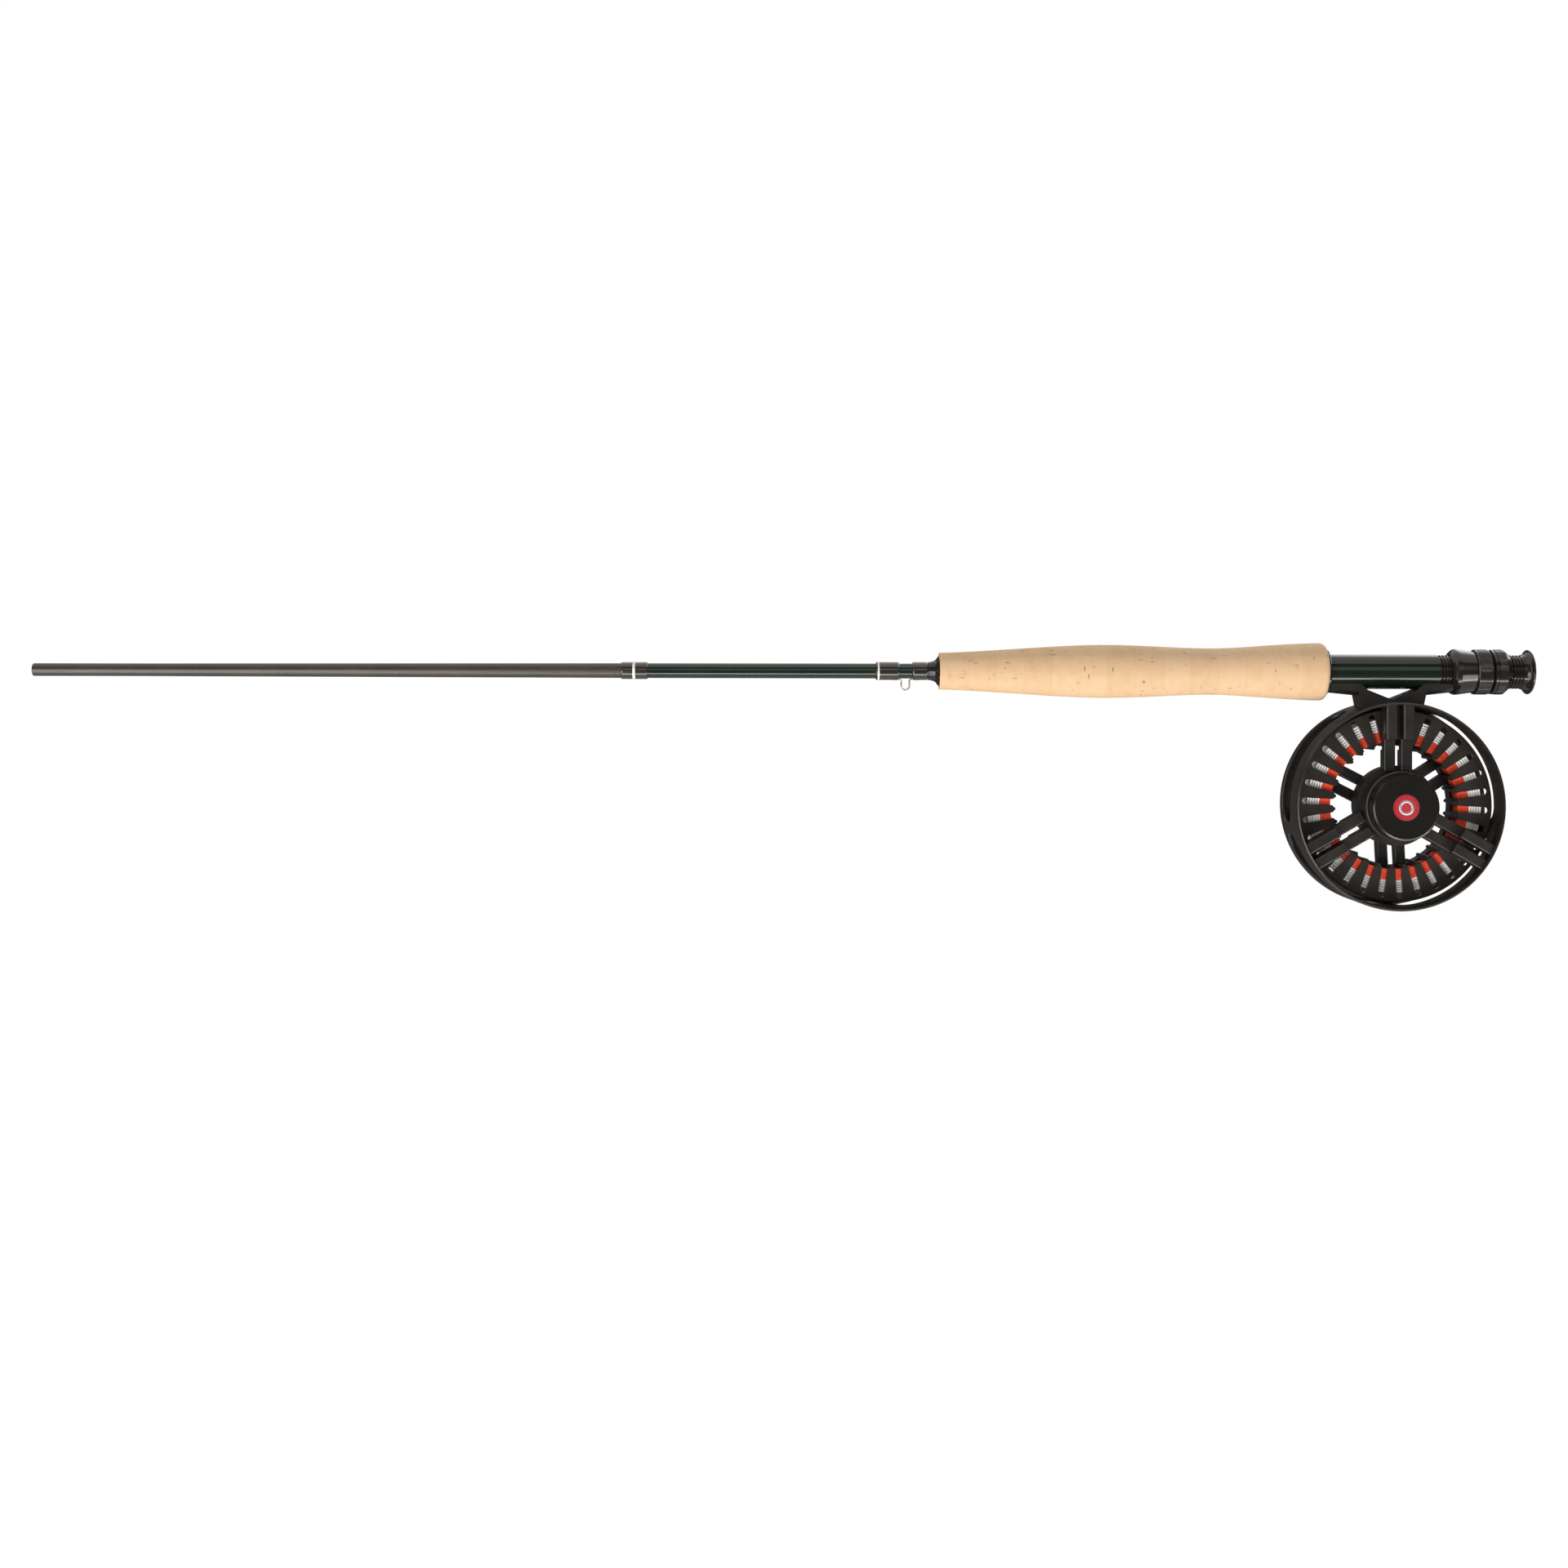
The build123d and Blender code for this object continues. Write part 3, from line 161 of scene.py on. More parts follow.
# ---------------------------------------------------------------- materials
class Surface(Nodes):
    """One material's node tree."""

    def __init__(self, name: str) -> None:
        """Starts a material that holds one shader and its object coordinates."""
        self.material = bpy.data.materials.new(name)
        self.material.use_nodes = True
        super().__init__(self.material.node_tree)
        self.tree.nodes.clear()
        self.shader = self.add("ShaderNodeBsdfPrincipled")
        self.add("ShaderNodeOutputMaterial", {"Surface": self.shader.outputs["BSDF"]})
        self.place = self.add("ShaderNodeTexCoord").outputs["Object"]
        self.relief = None

    def set(self, **values: object) -> None:
        """Writes or links the shader's inputs, with underscores for spaces."""
        for key, value in values.items():
            self.feed(self.shader.inputs[key.replace("_", " ")], value)

    def moved(self, centre: Vector | Point = (0, 0, 0), stretch: Point = (1, 1, 1)) -> Socket:
        """Object coordinates about a centre, stretched along the axes."""
        about = self.add("ShaderNodeVectorMath", {0: self.place, 1: tuple(centre)}, operation="SUBTRACT")
        scaled = self.add("ShaderNodeVectorMath", {0: about.outputs[0], 1: stretch}, operation="MULTIPLY")
        return scaled.outputs[0]

    def noise(self, size: float, detail: float = 3.0, stretch: Point = (1, 1, 1)) -> Socket:
        """Cloudy noise whose patches are about the given size.

        Args:
            size: Length of one patch.
            detail: How many finer layers it has.
            stretch: Scale of the pattern along each axis.

        Returns:
            The noise as a number from 0 to 1.
        """
        inputs = {"Vector": self.moved(stretch=stretch), "Scale": 1.0 / size, "Detail": detail}
        return self.add("ShaderNodeTexNoise", inputs).outputs[0]

    def ranged(self, value: object, low: float, high: float, to_low: float = 0.0, to_high: float = 1.0,
               eased: bool = False) -> Socket:
        """Maps one range of numbers onto another."""
        inputs = {"Value": value, "From Min": low, "From Max": high, "To Min": to_low, "To Max": to_high}
        kind = "SMOOTHSTEP" if eased else "LINEAR"
        return self.add("ShaderNodeMapRange", inputs, interpolation_type=kind).outputs[0]

    def mixed(self, share: object, first: object, second: object) -> Socket:
        """Mix of two colours by a share."""
        inputs = {"Factor_Float": share, "A_Color": first, "B_Color": second}
        return self.find(self.add("ShaderNodeMix", inputs, data_type="RGBA").outputs, "Result_Color")

    def waves(self, path: Socket, pitch: float) -> Socket:
        """Sine waves along a length, one to each pitch."""
        return self.calculate("SINE", self.calculate("MULTIPLY", path, math.tau / pitch))

    def along(self, name: str) -> Socket:
        """One object coordinate, X, Y or Z."""
        return self.add("ShaderNodeSeparateXYZ", {0: self.place}).outputs[name]

    def from_axis(self, lathe: Lathe) -> Socket:
        """Distance from the rod's or the reel's axis."""
        centre = Vector() if lathe is Lathe.ROD else reel_centre()
        flat = (0, 1, 1) if lathe is Lathe.ROD else (1, 0, 1)
        node = self.add("ShaderNodeVectorMath", {0: self.moved(centre, flat)}, operation="LENGTH")
        return node.outputs["Value"]

    def attribute(self, name: str) -> Socket:
        """A number stored on the piece's points."""
        return self.add("ShaderNodeAttribute", attribute_name=name).outputs["Fac"]

    def raise_by(self, height: Socket, depth: float) -> None:
        """Adds one layer of fine relief to the surface."""
        inputs = {"Height": height, "Distance": depth}
        if self.relief is not None:
            inputs["Normal"] = self.relief
        self.relief = self.add("ShaderNodeBump", inputs).outputs["Normal"]
        self.feed(self.shader.inputs["Normal"], self.relief)


@dataclass(frozen=True)
class BlastedFinish:
    """Bead-blasted and anodised metal, with a little wear in its sheen."""

    name: str
    dark: Colour
    light: Colour
    roughness: float = 0.36
    spread: float = 0.10
    grain: float = 0.22 * MM
    depth: float = 0.0022 * MM
    specular: float = 0.5
    metallic: float = 0.0
    patch: float = 9 * MM
    handled_share: float = 0.55

    def build(self) -> Surface:
        """Makes the material's tree, with handled patches and fine flecks."""
        surface = Surface(self.name)
        patches = surface.noise(self.patch, 4.0)
        grain = surface.noise(self.grain, 2.0)
        handled = surface.ranged(patches, 0.3, 0.7)
        flecks = surface.ranged(grain, 0.35, 0.75)
        tone = surface.calculate("MULTIPLY_ADD", handled, self.handled_share,
                                 surface.calculate("MULTIPLY", flecks, 1 - self.handled_share))
        low = self.roughness - self.spread / 2
        surface.set(Base_Color=surface.mixed(tone, self.dark, self.light), Metallic=self.metallic,
                    Specular_IOR_Level=self.specular,
                    Roughness=surface.ranged(tone, 0.0, 1.0, low, low + self.spread))
        surface.raise_by(grain, self.depth)
        return surface


@dataclass(frozen=True)
class TurnedFinish:
    """Anodised metal that still shows the lathe tool's fine rings."""

    metal: BlastedFinish
    lathe: Lathe
    pitch: float = 0.16 * MM
    depth: float = 0.0010 * MM
    drift_size: float = 1.3 * MM

    def build(self) -> Surface:
        """Makes the material's tree, with rings along and round its axis."""
        surface = self.metal.build()
        radius = surface.from_axis(self.lathe)
        station = surface.along("X" if self.lathe is Lathe.ROD else "Y")
        rings = surface.waves(surface.calculate("ADD", radius, station), self.pitch)
        drift = surface.noise(self.drift_size, 1.0)
        surface.raise_by(surface.calculate("MULTIPLY", rings, drift), self.depth)
        return surface


@dataclass(frozen=True)
class BarrelFinish:
    """Green anodised barrel whose threaded end is brown-black, like the nuts."""

    metal: TurnedFinish
    thread_x: float = 141.7 * MM
    blur: float = 0.05 * MM
    thread_dark: Colour = (0.0105, 0.0080, 0.0070)

    def build(self) -> Surface:
        """Makes the material's tree, with the colour changed at the thread."""
        surface = self.metal.build()
        tinted = surface.shader.inputs["Base Color"].links[0].from_socket
        end = surface.ranged(surface.along("X"), self.thread_x - self.blur, self.thread_x + self.blur)
        surface.set(Base_Color=surface.mixed(end, tinted, self.thread_dark))
        return surface


@dataclass(frozen=True)
class BlankFinish:
    """Graphite blank: bare and matt towards the ferrule, varnished dark green towards the grip."""

    name: str = "carbon_blank"
    change_x: float = -0.2345
    blur: float = 0.1 * MM
    bare: Colour = (0.024, 0.019, 0.016)
    bare_light: Colour = (0.040, 0.033, 0.028)
    bare_roughness: float = 0.34
    varnished: Colour = (0.004, 0.010, 0.006)
    varnished_light: Colour = (0.008, 0.019, 0.011)
    varnished_roughness: float = 0.10
    tape_pitch: float = 2.4 * MM
    tape_depth: float = 0.010 * MM
    fibre_depth: float = 0.006 * MM

    def build(self) -> Surface:
        """Makes the material's tree, with the curing tape's ridges on the bare part only."""
        surface = Surface(self.name)
        station = surface.along("X")
        gloss = surface.ranged(station, self.change_x - self.blur, self.change_x + self.blur)
        fibres = surface.noise(0.5 * MM, 3.0, stretch=(0.08, 1, 1))
        clouds = surface.noise(14 * MM, 3.0, stretch=(0.5, 1, 1))
        tone = surface.ranged(surface.calculate("MULTIPLY", fibres, clouds), 0.15, 0.42)
        matt = surface.mixed(tone, self.bare, self.bare_light)
        green = surface.mixed(tone, self.varnished, self.varnished_light)
        turns = surface.calculate("MULTIPLY", station, math.tau / self.tape_pitch)
        angle = surface.calculate("ARCTAN2", surface.along("Y"), surface.along("Z"))
        tape = surface.calculate("SINE", surface.calculate("ADD", turns, angle))
        bare_share = surface.calculate("SUBTRACT", 1.0, gloss)
        surface.set(Base_Color=surface.mixed(gloss, matt, green), Roughness=surface.ranged(
            gloss, 0.0, 1.0, self.bare_roughness, self.varnished_roughness))
        surface.raise_by(surface.calculate("MULTIPLY", tape, bare_share), self.tape_depth)
        surface.raise_by(surface.calculate("MULTIPLY", fibres, bare_share), self.fibre_depth)
        return surface


@dataclass(frozen=True)
class ThreadFinish:
    """Silk thread under clear varnish, its turns seen as fine lines."""

    name: str
    dark: Colour
    light: Colour
    roughness: float = 0.30
    pitch: float = 0.20 * MM
    line_strength: float = 0.25
    dip_depth: float = 0.004 * MM

    def build(self) -> Surface:
        """Makes the material's tree, with shallow dips in the varnish."""
        surface = Surface(self.name)
        fuzz = surface.noise(0.12 * MM, 2.0, stretch=(1, 0.3, 0.3))
        dips = surface.noise(3.0 * MM, 1.0)
        turns = surface.waves(surface.along("X"), self.pitch)
        lines = surface.calculate("MULTIPLY", turns, self.line_strength)
        surface.set(Base_Color=surface.mixed(surface.calculate("ADD", fuzz, lines), self.dark, self.light),
                    Roughness=self.roughness, Specular_IOR_Level=0.25, Coat_Weight=1.0, Coat_Roughness=0.03)
        surface.raise_by(dips, self.dip_depth)
        return surface


@dataclass(frozen=True)
class CorkFinish:
    """Sanded natural cork, with darker pores and fine glue lines."""

    name: str = "cork"
    pale: Colour = (0.555, 0.380, 0.228)
    warm: Colour = (0.505, 0.335, 0.190)
    fleck: Colour = (0.380, 0.225, 0.115)
    pore: Colour = (0.150, 0.078, 0.038)
    freckling: float = 0.40
    ring_share: float = 0.30
    speck_depth: float = 0.02 * MM
    streak_depth: float = 0.03 * MM

    def build(self) -> Surface:
        """Makes the material's tree from noise and the grip's own attributes."""
        surface = Surface(self.name)
        clouds = surface.noise(5 * MM, 5.0)
        streaks = surface.noise(0.9 * MM, 4.0, stretch=(0.35, 1, 1))
        specks = surface.noise(0.42 * MM, 2.0)
        tone = surface.calculate("ADD", surface.ranged(clouds, 0.3, 0.72, to_high=0.75),
                                 surface.calculate("MULTIPLY", surface.attribute("ring_tone"), self.ring_share))
        ground = surface.mixed(tone, self.pale, self.warm)
        streak_share = surface.ranged(streaks, 0.60, 0.82, 0.0, self.freckling, True)
        speck_share = surface.ranged(specks, 0.68, 0.82, 0.0, self.freckling, True)
        streaked = surface.mixed(streak_share, ground, self.fleck)
        speckled = surface.mixed(speck_share, streaked, self.fleck)
        pitted = surface.mixed(surface.attribute("pore"), speckled, self.pore)
        surface.set(Base_Color=pitted, Specular_IOR_Level=0.25,
                    Roughness=surface.ranged(clouds, 0.3, 0.7, 0.62, 0.80))
        surface.raise_by(specks, self.speck_depth)
        surface.raise_by(streaks, self.streak_depth)
        return surface


@dataclass(frozen=True)
class StrandFinish:
    """Wound line: soft plastic coating or braided backing."""

    name: str
    pale: Colour
    shade: Colour
    # Colour of the painted shade that darkens the grooves between turns.
    painted_groove_shade: Colour
    inner: float
    pitch: float
    roughness: float
    depth: float = 0.004 * MM
    weave_size: float = 0.35 * MM
    sheen: float = 0.0
    painted_shade_width: float = 0.22
    painted_shade_strength: float = 0.85
    wander_share: float = 0.35

    def build(self) -> Surface:
        """Makes the material's tree, with painted shade in the grooves between the turns."""
        surface = Surface(self.name)
        scuffs = surface.noise(2.2 * MM, 3.0)
        weave = surface.noise(self.weave_size, 1.0)
        ground = surface.mixed(surface.ranged(scuffs, 0.35, 0.7), self.pale, self.shade)
        wander = surface.calculate("MULTIPLY", surface.noise(3.5 * MM, 1.0), self.wander_share * self.pitch)
        out = surface.calculate("SUBTRACT", surface.from_axis(Lathe.REEL), self.inner)
        path = surface.calculate("ADD", out, wander)
        turn = surface.calculate("PINGPONG", surface.calculate("DIVIDE", path, self.pitch), 0.5)
        # Painted shade: the colour darkens towards each groove between turns, standing in for the shade that
        # falls there.
        painted_groove_shade = surface.ranged(turn, 0.0, self.painted_shade_width, self.painted_shade_strength, 0.0, True)
        surface.set(Base_Color=surface.mixed(painted_groove_shade, ground, self.painted_groove_shade),
                    Roughness=self.roughness, Sheen_Weight=self.sheen)
        surface.raise_by(weave, self.depth)
        return surface


@dataclass(frozen=True)
class SoftFinish:
    """Rubber, moulded grip or friction material."""

    name: str
    dark: Colour
    light: Colour
    roughness: float = 0.65
    grain: float = 0.35 * MM
    depth: float = 0.03 * MM

    def build(self) -> Surface:
        """Makes the material's tree, with one grain for its tone, sheen and relief."""
        surface = Surface(self.name)
        grain = surface.noise(self.grain, 3.0)
        surface.set(Base_Color=surface.mixed(surface.ranged(grain, 0.3, 0.7), self.dark, self.light),
                    Roughness=surface.ranged(grain, 0.3, 0.7, self.roughness - 0.06, self.roughness + 0.08),
                    Specular_IOR_Level=0.4)
        surface.raise_by(grain, self.depth)
        return surface


@dataclass(frozen=True)
class EnamelFinish:
    """Filled enamel under a clear dome."""

    name: str = "medallion_enamel"
    middle: Colour = (0.400, 0.022, 0.034)
    edge: Colour = (0.270, 0.012, 0.022)
    radius: float = 6.15 * MM

    def build(self) -> Surface:
        """Makes the material's tree, a little deeper in colour at the rim."""
        surface = Surface(self.name)
        out = surface.ranged(surface.from_axis(Lathe.REEL), 0.45 * self.radius, self.radius, eased=True)
        flakes = surface.noise(0.3 * MM, 2.0)
        share = surface.calculate("MULTIPLY_ADD", flakes, 0.35, surface.calculate("MULTIPLY", out, 0.8))
        surface.set(Base_Color=surface.mixed(share, self.middle, self.edge), Roughness=0.34,
                    Coat_Weight=0.6, Coat_Roughness=0.08)
        surface.raise_by(flakes, 0.004 * MM)
        return surface


@dataclass
class Finishes:
    """Every finish of the rod and reel, built once."""

    built: dict[str, bpy.types.Material] = field(default_factory=dict)

    def build(self) -> None:
        """Builds the materials and keeps them by name."""
        soot = ((0.0080, 0.0064, 0.0052), (0.0165, 0.0132, 0.0108))
        reel = BlastedFinish("reel_black", *soot, roughness=0.34, spread=0.10)
        hardware = BlastedFinish("black_anodised", (0.0085, 0.0062, 0.0054), (0.0135, 0.0102, 0.0090),
                                 roughness=0.15, spread=0.06, depth=0.0005 * MM, specular=0.40)
        knob = BlastedFinish("knob_black", (0.0070, 0.0064, 0.0055), (0.0100, 0.0092, 0.0080),
                             roughness=0.20, spread=0.04, depth=0.0002 * MM, specular=0.34)
        green = BlastedFinish("green_anodised", (0.0040, 0.0085, 0.0055), (0.0070, 0.0140, 0.0090),
                              roughness=0.12, spread=0.04, depth=0.0004 * MM, specular=0.38)
        steel = BlastedFinish("steel", (0.40, 0.39, 0.37), (0.60, 0.59, 0.57), roughness=0.26,
                              metallic=1.0, depth=0.003 * MM)
        brass = BlastedFinish("brass", (0.48, 0.33, 0.13), (0.68, 0.50, 0.24), roughness=0.30,
                              metallic=1.0, depth=0.003 * MM)
        silver = BlastedFinish("medallion_silver", (0.42, 0.44, 0.44), (0.58, 0.60, 0.60),
                               roughness=0.38, metallic=0.85, depth=0.004 * MM)
        makers = {
            "reel": reel,
            "reel_turned": TurnedFinish(BlastedFinish("reel_black_turned", *soot, roughness=0.31), Lathe.REEL),
            "hardware": TurnedFinish(hardware, Lathe.ROD),
            "knob": TurnedFinish(knob, Lathe.REEL, pitch=0.11 * MM, depth=0.0005 * MM),
            "barrel": BarrelFinish(TurnedFinish(green, Lathe.ROD, pitch=0.2 * MM, depth=0.0003 * MM)),
            "steel": TurnedFinish(steel, Lathe.REEL),
            "brass": TurnedFinish(brass, Lathe.REEL),
            "silver": silver,
            "blank": BlankFinish(),
            "thread": ThreadFinish("thread_black", (0.0075, 0.0055, 0.0045), (0.0150, 0.0110, 0.0090)),
            "trim": ThreadFinish("trim_light", (0.52, 0.50, 0.44), (0.72, 0.70, 0.64), 0.45),
            "cork": CorkFinish(),
            "enamel": EnamelFinish(),
            "fly_line": StrandFinish("fly_line", (0.96, 0.95, 0.93), (0.90, 0.89, 0.86), (0.30, 0.30, 0.29),
                                     inner=34.8 * MM, pitch=1.22 * MM, roughness=0.42),
            "backing": StrandFinish("backing", (0.97, 0.085, 0.020), (0.88, 0.060, 0.014), (0.60, 0.035, 0.010),
                                    inner=29.73 * MM, pitch=0.63 * MM, roughness=0.70, depth=0.014 * MM,
                                    sheen=0.2),
            "rubber": SoftFinish("rubber", (0.010, 0.010, 0.010), (0.024, 0.023, 0.022)),
            "grip": SoftFinish("handle_grip", (0.012, 0.011, 0.010), (0.030, 0.027, 0.024), 0.48, 0.5 * MM),
            "friction": SoftFinish("friction", (0.050, 0.036, 0.026), (0.110, 0.080, 0.056), 0.75, 0.6 * MM),
        }
        self.built = {name: maker.build().material for name, maker in makers.items()}

    def __getitem__(self, name: str) -> bpy.types.Material:
        """One finish by its short name."""
        return self.built[name]

    def dress(self, frame: dict, nodes: dict[str, str]) -> None:
        """Gives CAD nodes their finish.

        Args:
            frame: The loaded frame.
            nodes: Node name to finish name.
        """
        for node, finish in nodes.items():
            target = frame["nodes"][node]
            if not target.material_slots:
                target.data.materials.append(self.built[finish])
            for held in target.material_slots:
                held.material = self.built[finish]
            LOG.info("%s wears %s", node, finish)


# ---------------------------------------------------------------- meshes
def finished(name: str, mesh: Mesh, sharp: float = 32.0) -> Piece:
    """Puts a mesh in the scene with smooth faces and sharp edges by angle.

    Args:
        name: The piece's name.
        mesh: Its mesh, already in place.
        sharp: Edges that turn by more than this many degrees stay sharp.

    Returns:
        The new piece, at the origin.
    """
    mesh.name = name
    mesh.shade_smooth()
    mesh.set_sharp_from_angle(angle=math.radians(sharp))
    piece = bpy.data.objects.new(name, mesh)
    bpy.context.scene.collection.objects.link(piece)
    return piece


def placed(lathe: Lathe, station: float, radius: float, angle: float, centre: Vector = Vector()) -> Point:
    """Point of a turned piece.

    Args:
        lathe: The axis it is turned about.
        station: X on the rod's axis, or Y on the reel's.
        radius: Distance from the axis.
        angle: Turn about the axis in radians.
        centre: Point on the reel's axis.

    Returns:
        The point in the object's frame.
    """
    across, up = radius * math.cos(angle), radius * math.sin(angle)
    if lathe is Lathe.ROD:
        return (station, across, up)
    return (centre.x + across, station, centre.z + up)


def kept(shell: bmesh.types.BMesh, name: str) -> Mesh:
    """The shell as a plain mesh, with the working copy freed."""
    mesh = bpy.data.meshes.new(name)
    shell.to_mesh(mesh)
    shell.free()
    return mesh


def lofted(shell: bmesh.types.BMesh, rows: list[list[bmesh.types.BMVert]], name: str) -> Mesh:
    """Closes rows of points into one shell, with the last row joined to the first.

    Args:
        shell: The working mesh that holds the points.
        rows: The rows in order. A row of one point lies on the axis.
        name: The mesh's name.

    Returns:
        The mesh, faces outwards.
    """
    segments = max(len(row) for row in rows)
    for row, after in zip(rows, rows[1:] + rows[:1]):
        if len(row) == 1 and len(after) == 1:
            continue
        for step in range(segments):
            following = (step + 1) % segments
            if len(row) == 1:
                corners = (row[0], after[following], after[step])
            elif len(after) == 1:
                corners = (row[step], row[following], after[0])
            else:
                corners = (row[step], row[following], after[following], after[step])
            shell.faces.new(corners)
    bmesh.ops.recalc_face_normals(shell, faces=shell.faces)
    return kept(shell, name)


def turned_mesh(outline: Outline, lathe: Lathe, segments: int = 96) -> Mesh:
    """Closed mesh turned from a closed outline.

    Args:
        outline: Points as (station, radius). A radius of 0 lies on the axis.
        lathe: The axis to turn about.
        segments: Faces round the axis.

    Returns:
        The mesh, faces outwards.
    """
    shell = bmesh.new()
    centre = reel_centre()
    rows = []
    for station, radius in outline:
        count = segments if radius > ON_AXIS else 1
        rows.append([shell.verts.new(placed(lathe, station, radius, math.tau * step / segments, centre))
                     for step in range(count)])
    return lofted(shell, rows, "turned")


# ---------------------------------------------------------------- geometry nodes
class Recipe(Nodes):
    """A Geometry Nodes tree with named inputs, used to make meshes that repeat a shape."""

    def __init__(self, name: str, inputs: dict[str, str]) -> None:
        """Starts the tree.

        Args:
            name: The tree's name.
            inputs: Input name to socket type, after the geometry that comes first.
        """
        super().__init__(bpy.data.node_groups.new(name, "GeometryNodeTree"))
        self.identifiers = {}
        face = self.tree.interface
        face.new_socket("Geometry", in_out="INPUT", socket_type="NodeSocketGeometry")
        for label, kind in inputs.items():
            made = face.new_socket(label, in_out="INPUT", socket_type="NodeSocket" + kind)
            self.identifiers[label] = made.identifier
        face.new_socket("Geometry", in_out="OUTPUT", socket_type="NodeSocketGeometry")
        self.given = self.add("NodeGroupInput").outputs

    def jitter(self, index: Socket, seed: object) -> Socket:
        """Random number for each point, as far either way as the unevenness says."""
        least = self.calculate("MULTIPLY", self.given["Unevenness"], -1.0)
        inputs = {"Min_001": least, "Max_001": self.given["Unevenness"], "ID": index, "Seed": seed}
        return self.add("FunctionNodeRandomValue", inputs, data_type="FLOAT").outputs[1]

    def close(self, *shapes: Socket) -> None:
        """Joins the shapes, makes them real and gives them the finish.

        Args:
            shapes: Geometry sockets to join.
        """
        joined = self.add("GeometryNodeJoinGeometry")
        for shape in shapes:
            self.tree.links.new(shape, joined.inputs[0])
        real = self.add("GeometryNodeRealizeInstances", {0: joined.outputs[0]})
        dressed = self.add("GeometryNodeSetMaterial", {"Geometry": real.outputs[0],
                                                       "Material": self.given["Finish"]})
        self.add("NodeGroupOutput", {0: dressed.outputs[0]})

    def make(self, name: str, values: dict[str, object], base: Mesh | None = None,
             sharp: float = 60.0) -> Piece:
        """Runs the tree once and keeps its result as a plain mesh.

        Args:
            name: Name of the piece.
            values: Input name to value.
            base: Mesh that goes in as the tree's geometry.
            sharp: Edges that turn by more than this many degrees stay sharp.

        Returns:
            The piece, with no modifier on it.
        """
        start = base or bpy.data.meshes.new(name + "_start")
        carrier = bpy.data.objects.new(name + "_carrier", start)
        modifier = carrier.modifiers.new("recipe", "NODES")
        modifier.node_group = self.tree
        for label, value in values.items():
            modifier[self.identifiers[label]] = value
        bpy.context.scene.collection.objects.link(carrier)
        ready = bpy.context.evaluated_depsgraph_get()
        mesh = bpy.data.meshes.new_from_object(carrier.evaluated_get(ready))
        bpy.data.objects.remove(carrier)
        bpy.data.meshes.remove(start)
        return finished(name, mesh, sharp)


def turns_recipe() -> Recipe:
    """Round strands laid side by side about an axis, each a closed turn.

    Returns:
        The recipe. Its inputs give the first turn's centre, the step to the next centre, the first
        radius and its step, the strand's radius, the turn's facing and how uneven the turns are.
    """
    recipe = Recipe("laid_turns", {
        "Start": "Vector", "Step": "Vector", "Turns": "Int", "Radius": "Float", "Radius Step": "Float",
        "Strand Radius": "Float", "Facing": "Vector", "Unevenness": "Float", "Seed": "Int",
        "Segments": "Int", "Finish": "Material"})
    given = recipe.given
    centres = recipe.add("GeometryNodeMeshLine", {"Count": given["Turns"], "Start Location": given["Start"],
                                                  "Offset": given["Step"]}, mode="OFFSET")
    index = recipe.add("GeometryNodeInputIndex").outputs[0]
    wander = recipe.jitter(index, given["Seed"])
    swell = recipe.jitter(index, recipe.calculate("ADD", given["Seed"], 11.0))
    sideways = recipe.add("ShaderNodeCombineXYZ", {"Y": wander})
    shaken = recipe.add("GeometryNodeSetPosition", {"Geometry": centres.outputs[0],
                                                    "Offset": sideways.outputs[0]})
    circle = recipe.add("GeometryNodeCurvePrimitiveCircle", {"Resolution": given["Segments"], "Radius": 1.0},
                        mode="RADIUS")
    grown = recipe.calculate("MULTIPLY", index, given["Radius Step"])
    radius = recipe.calculate("ADD", recipe.calculate("ADD", given["Radius"], grown), swell)
    turned = recipe.add("FunctionNodeEulerToRotation", {0: given["Facing"]})
    turns = recipe.add("GeometryNodeInstanceOnPoints", {
        "Points": shaken.outputs[0], "Instance": circle.outputs[0], "Rotation": turned.outputs[0],
        "Scale": radius})
    paths = recipe.add("GeometryNodeRealizeInstances", {0: turns.outputs[0]})
    section = recipe.add("GeometryNodeCurvePrimitiveCircle", {
        "Resolution": STRAND_SIDES, "Radius": given["Strand Radius"]}, mode="RADIUS")
    strands = recipe.add("GeometryNodeCurveToMesh", {"Curve": paths.outputs[0],
                                                     "Profile Curve": section.outputs[0]})
    recipe.close(given["Geometry"], strands.outputs[0])
    return recipe


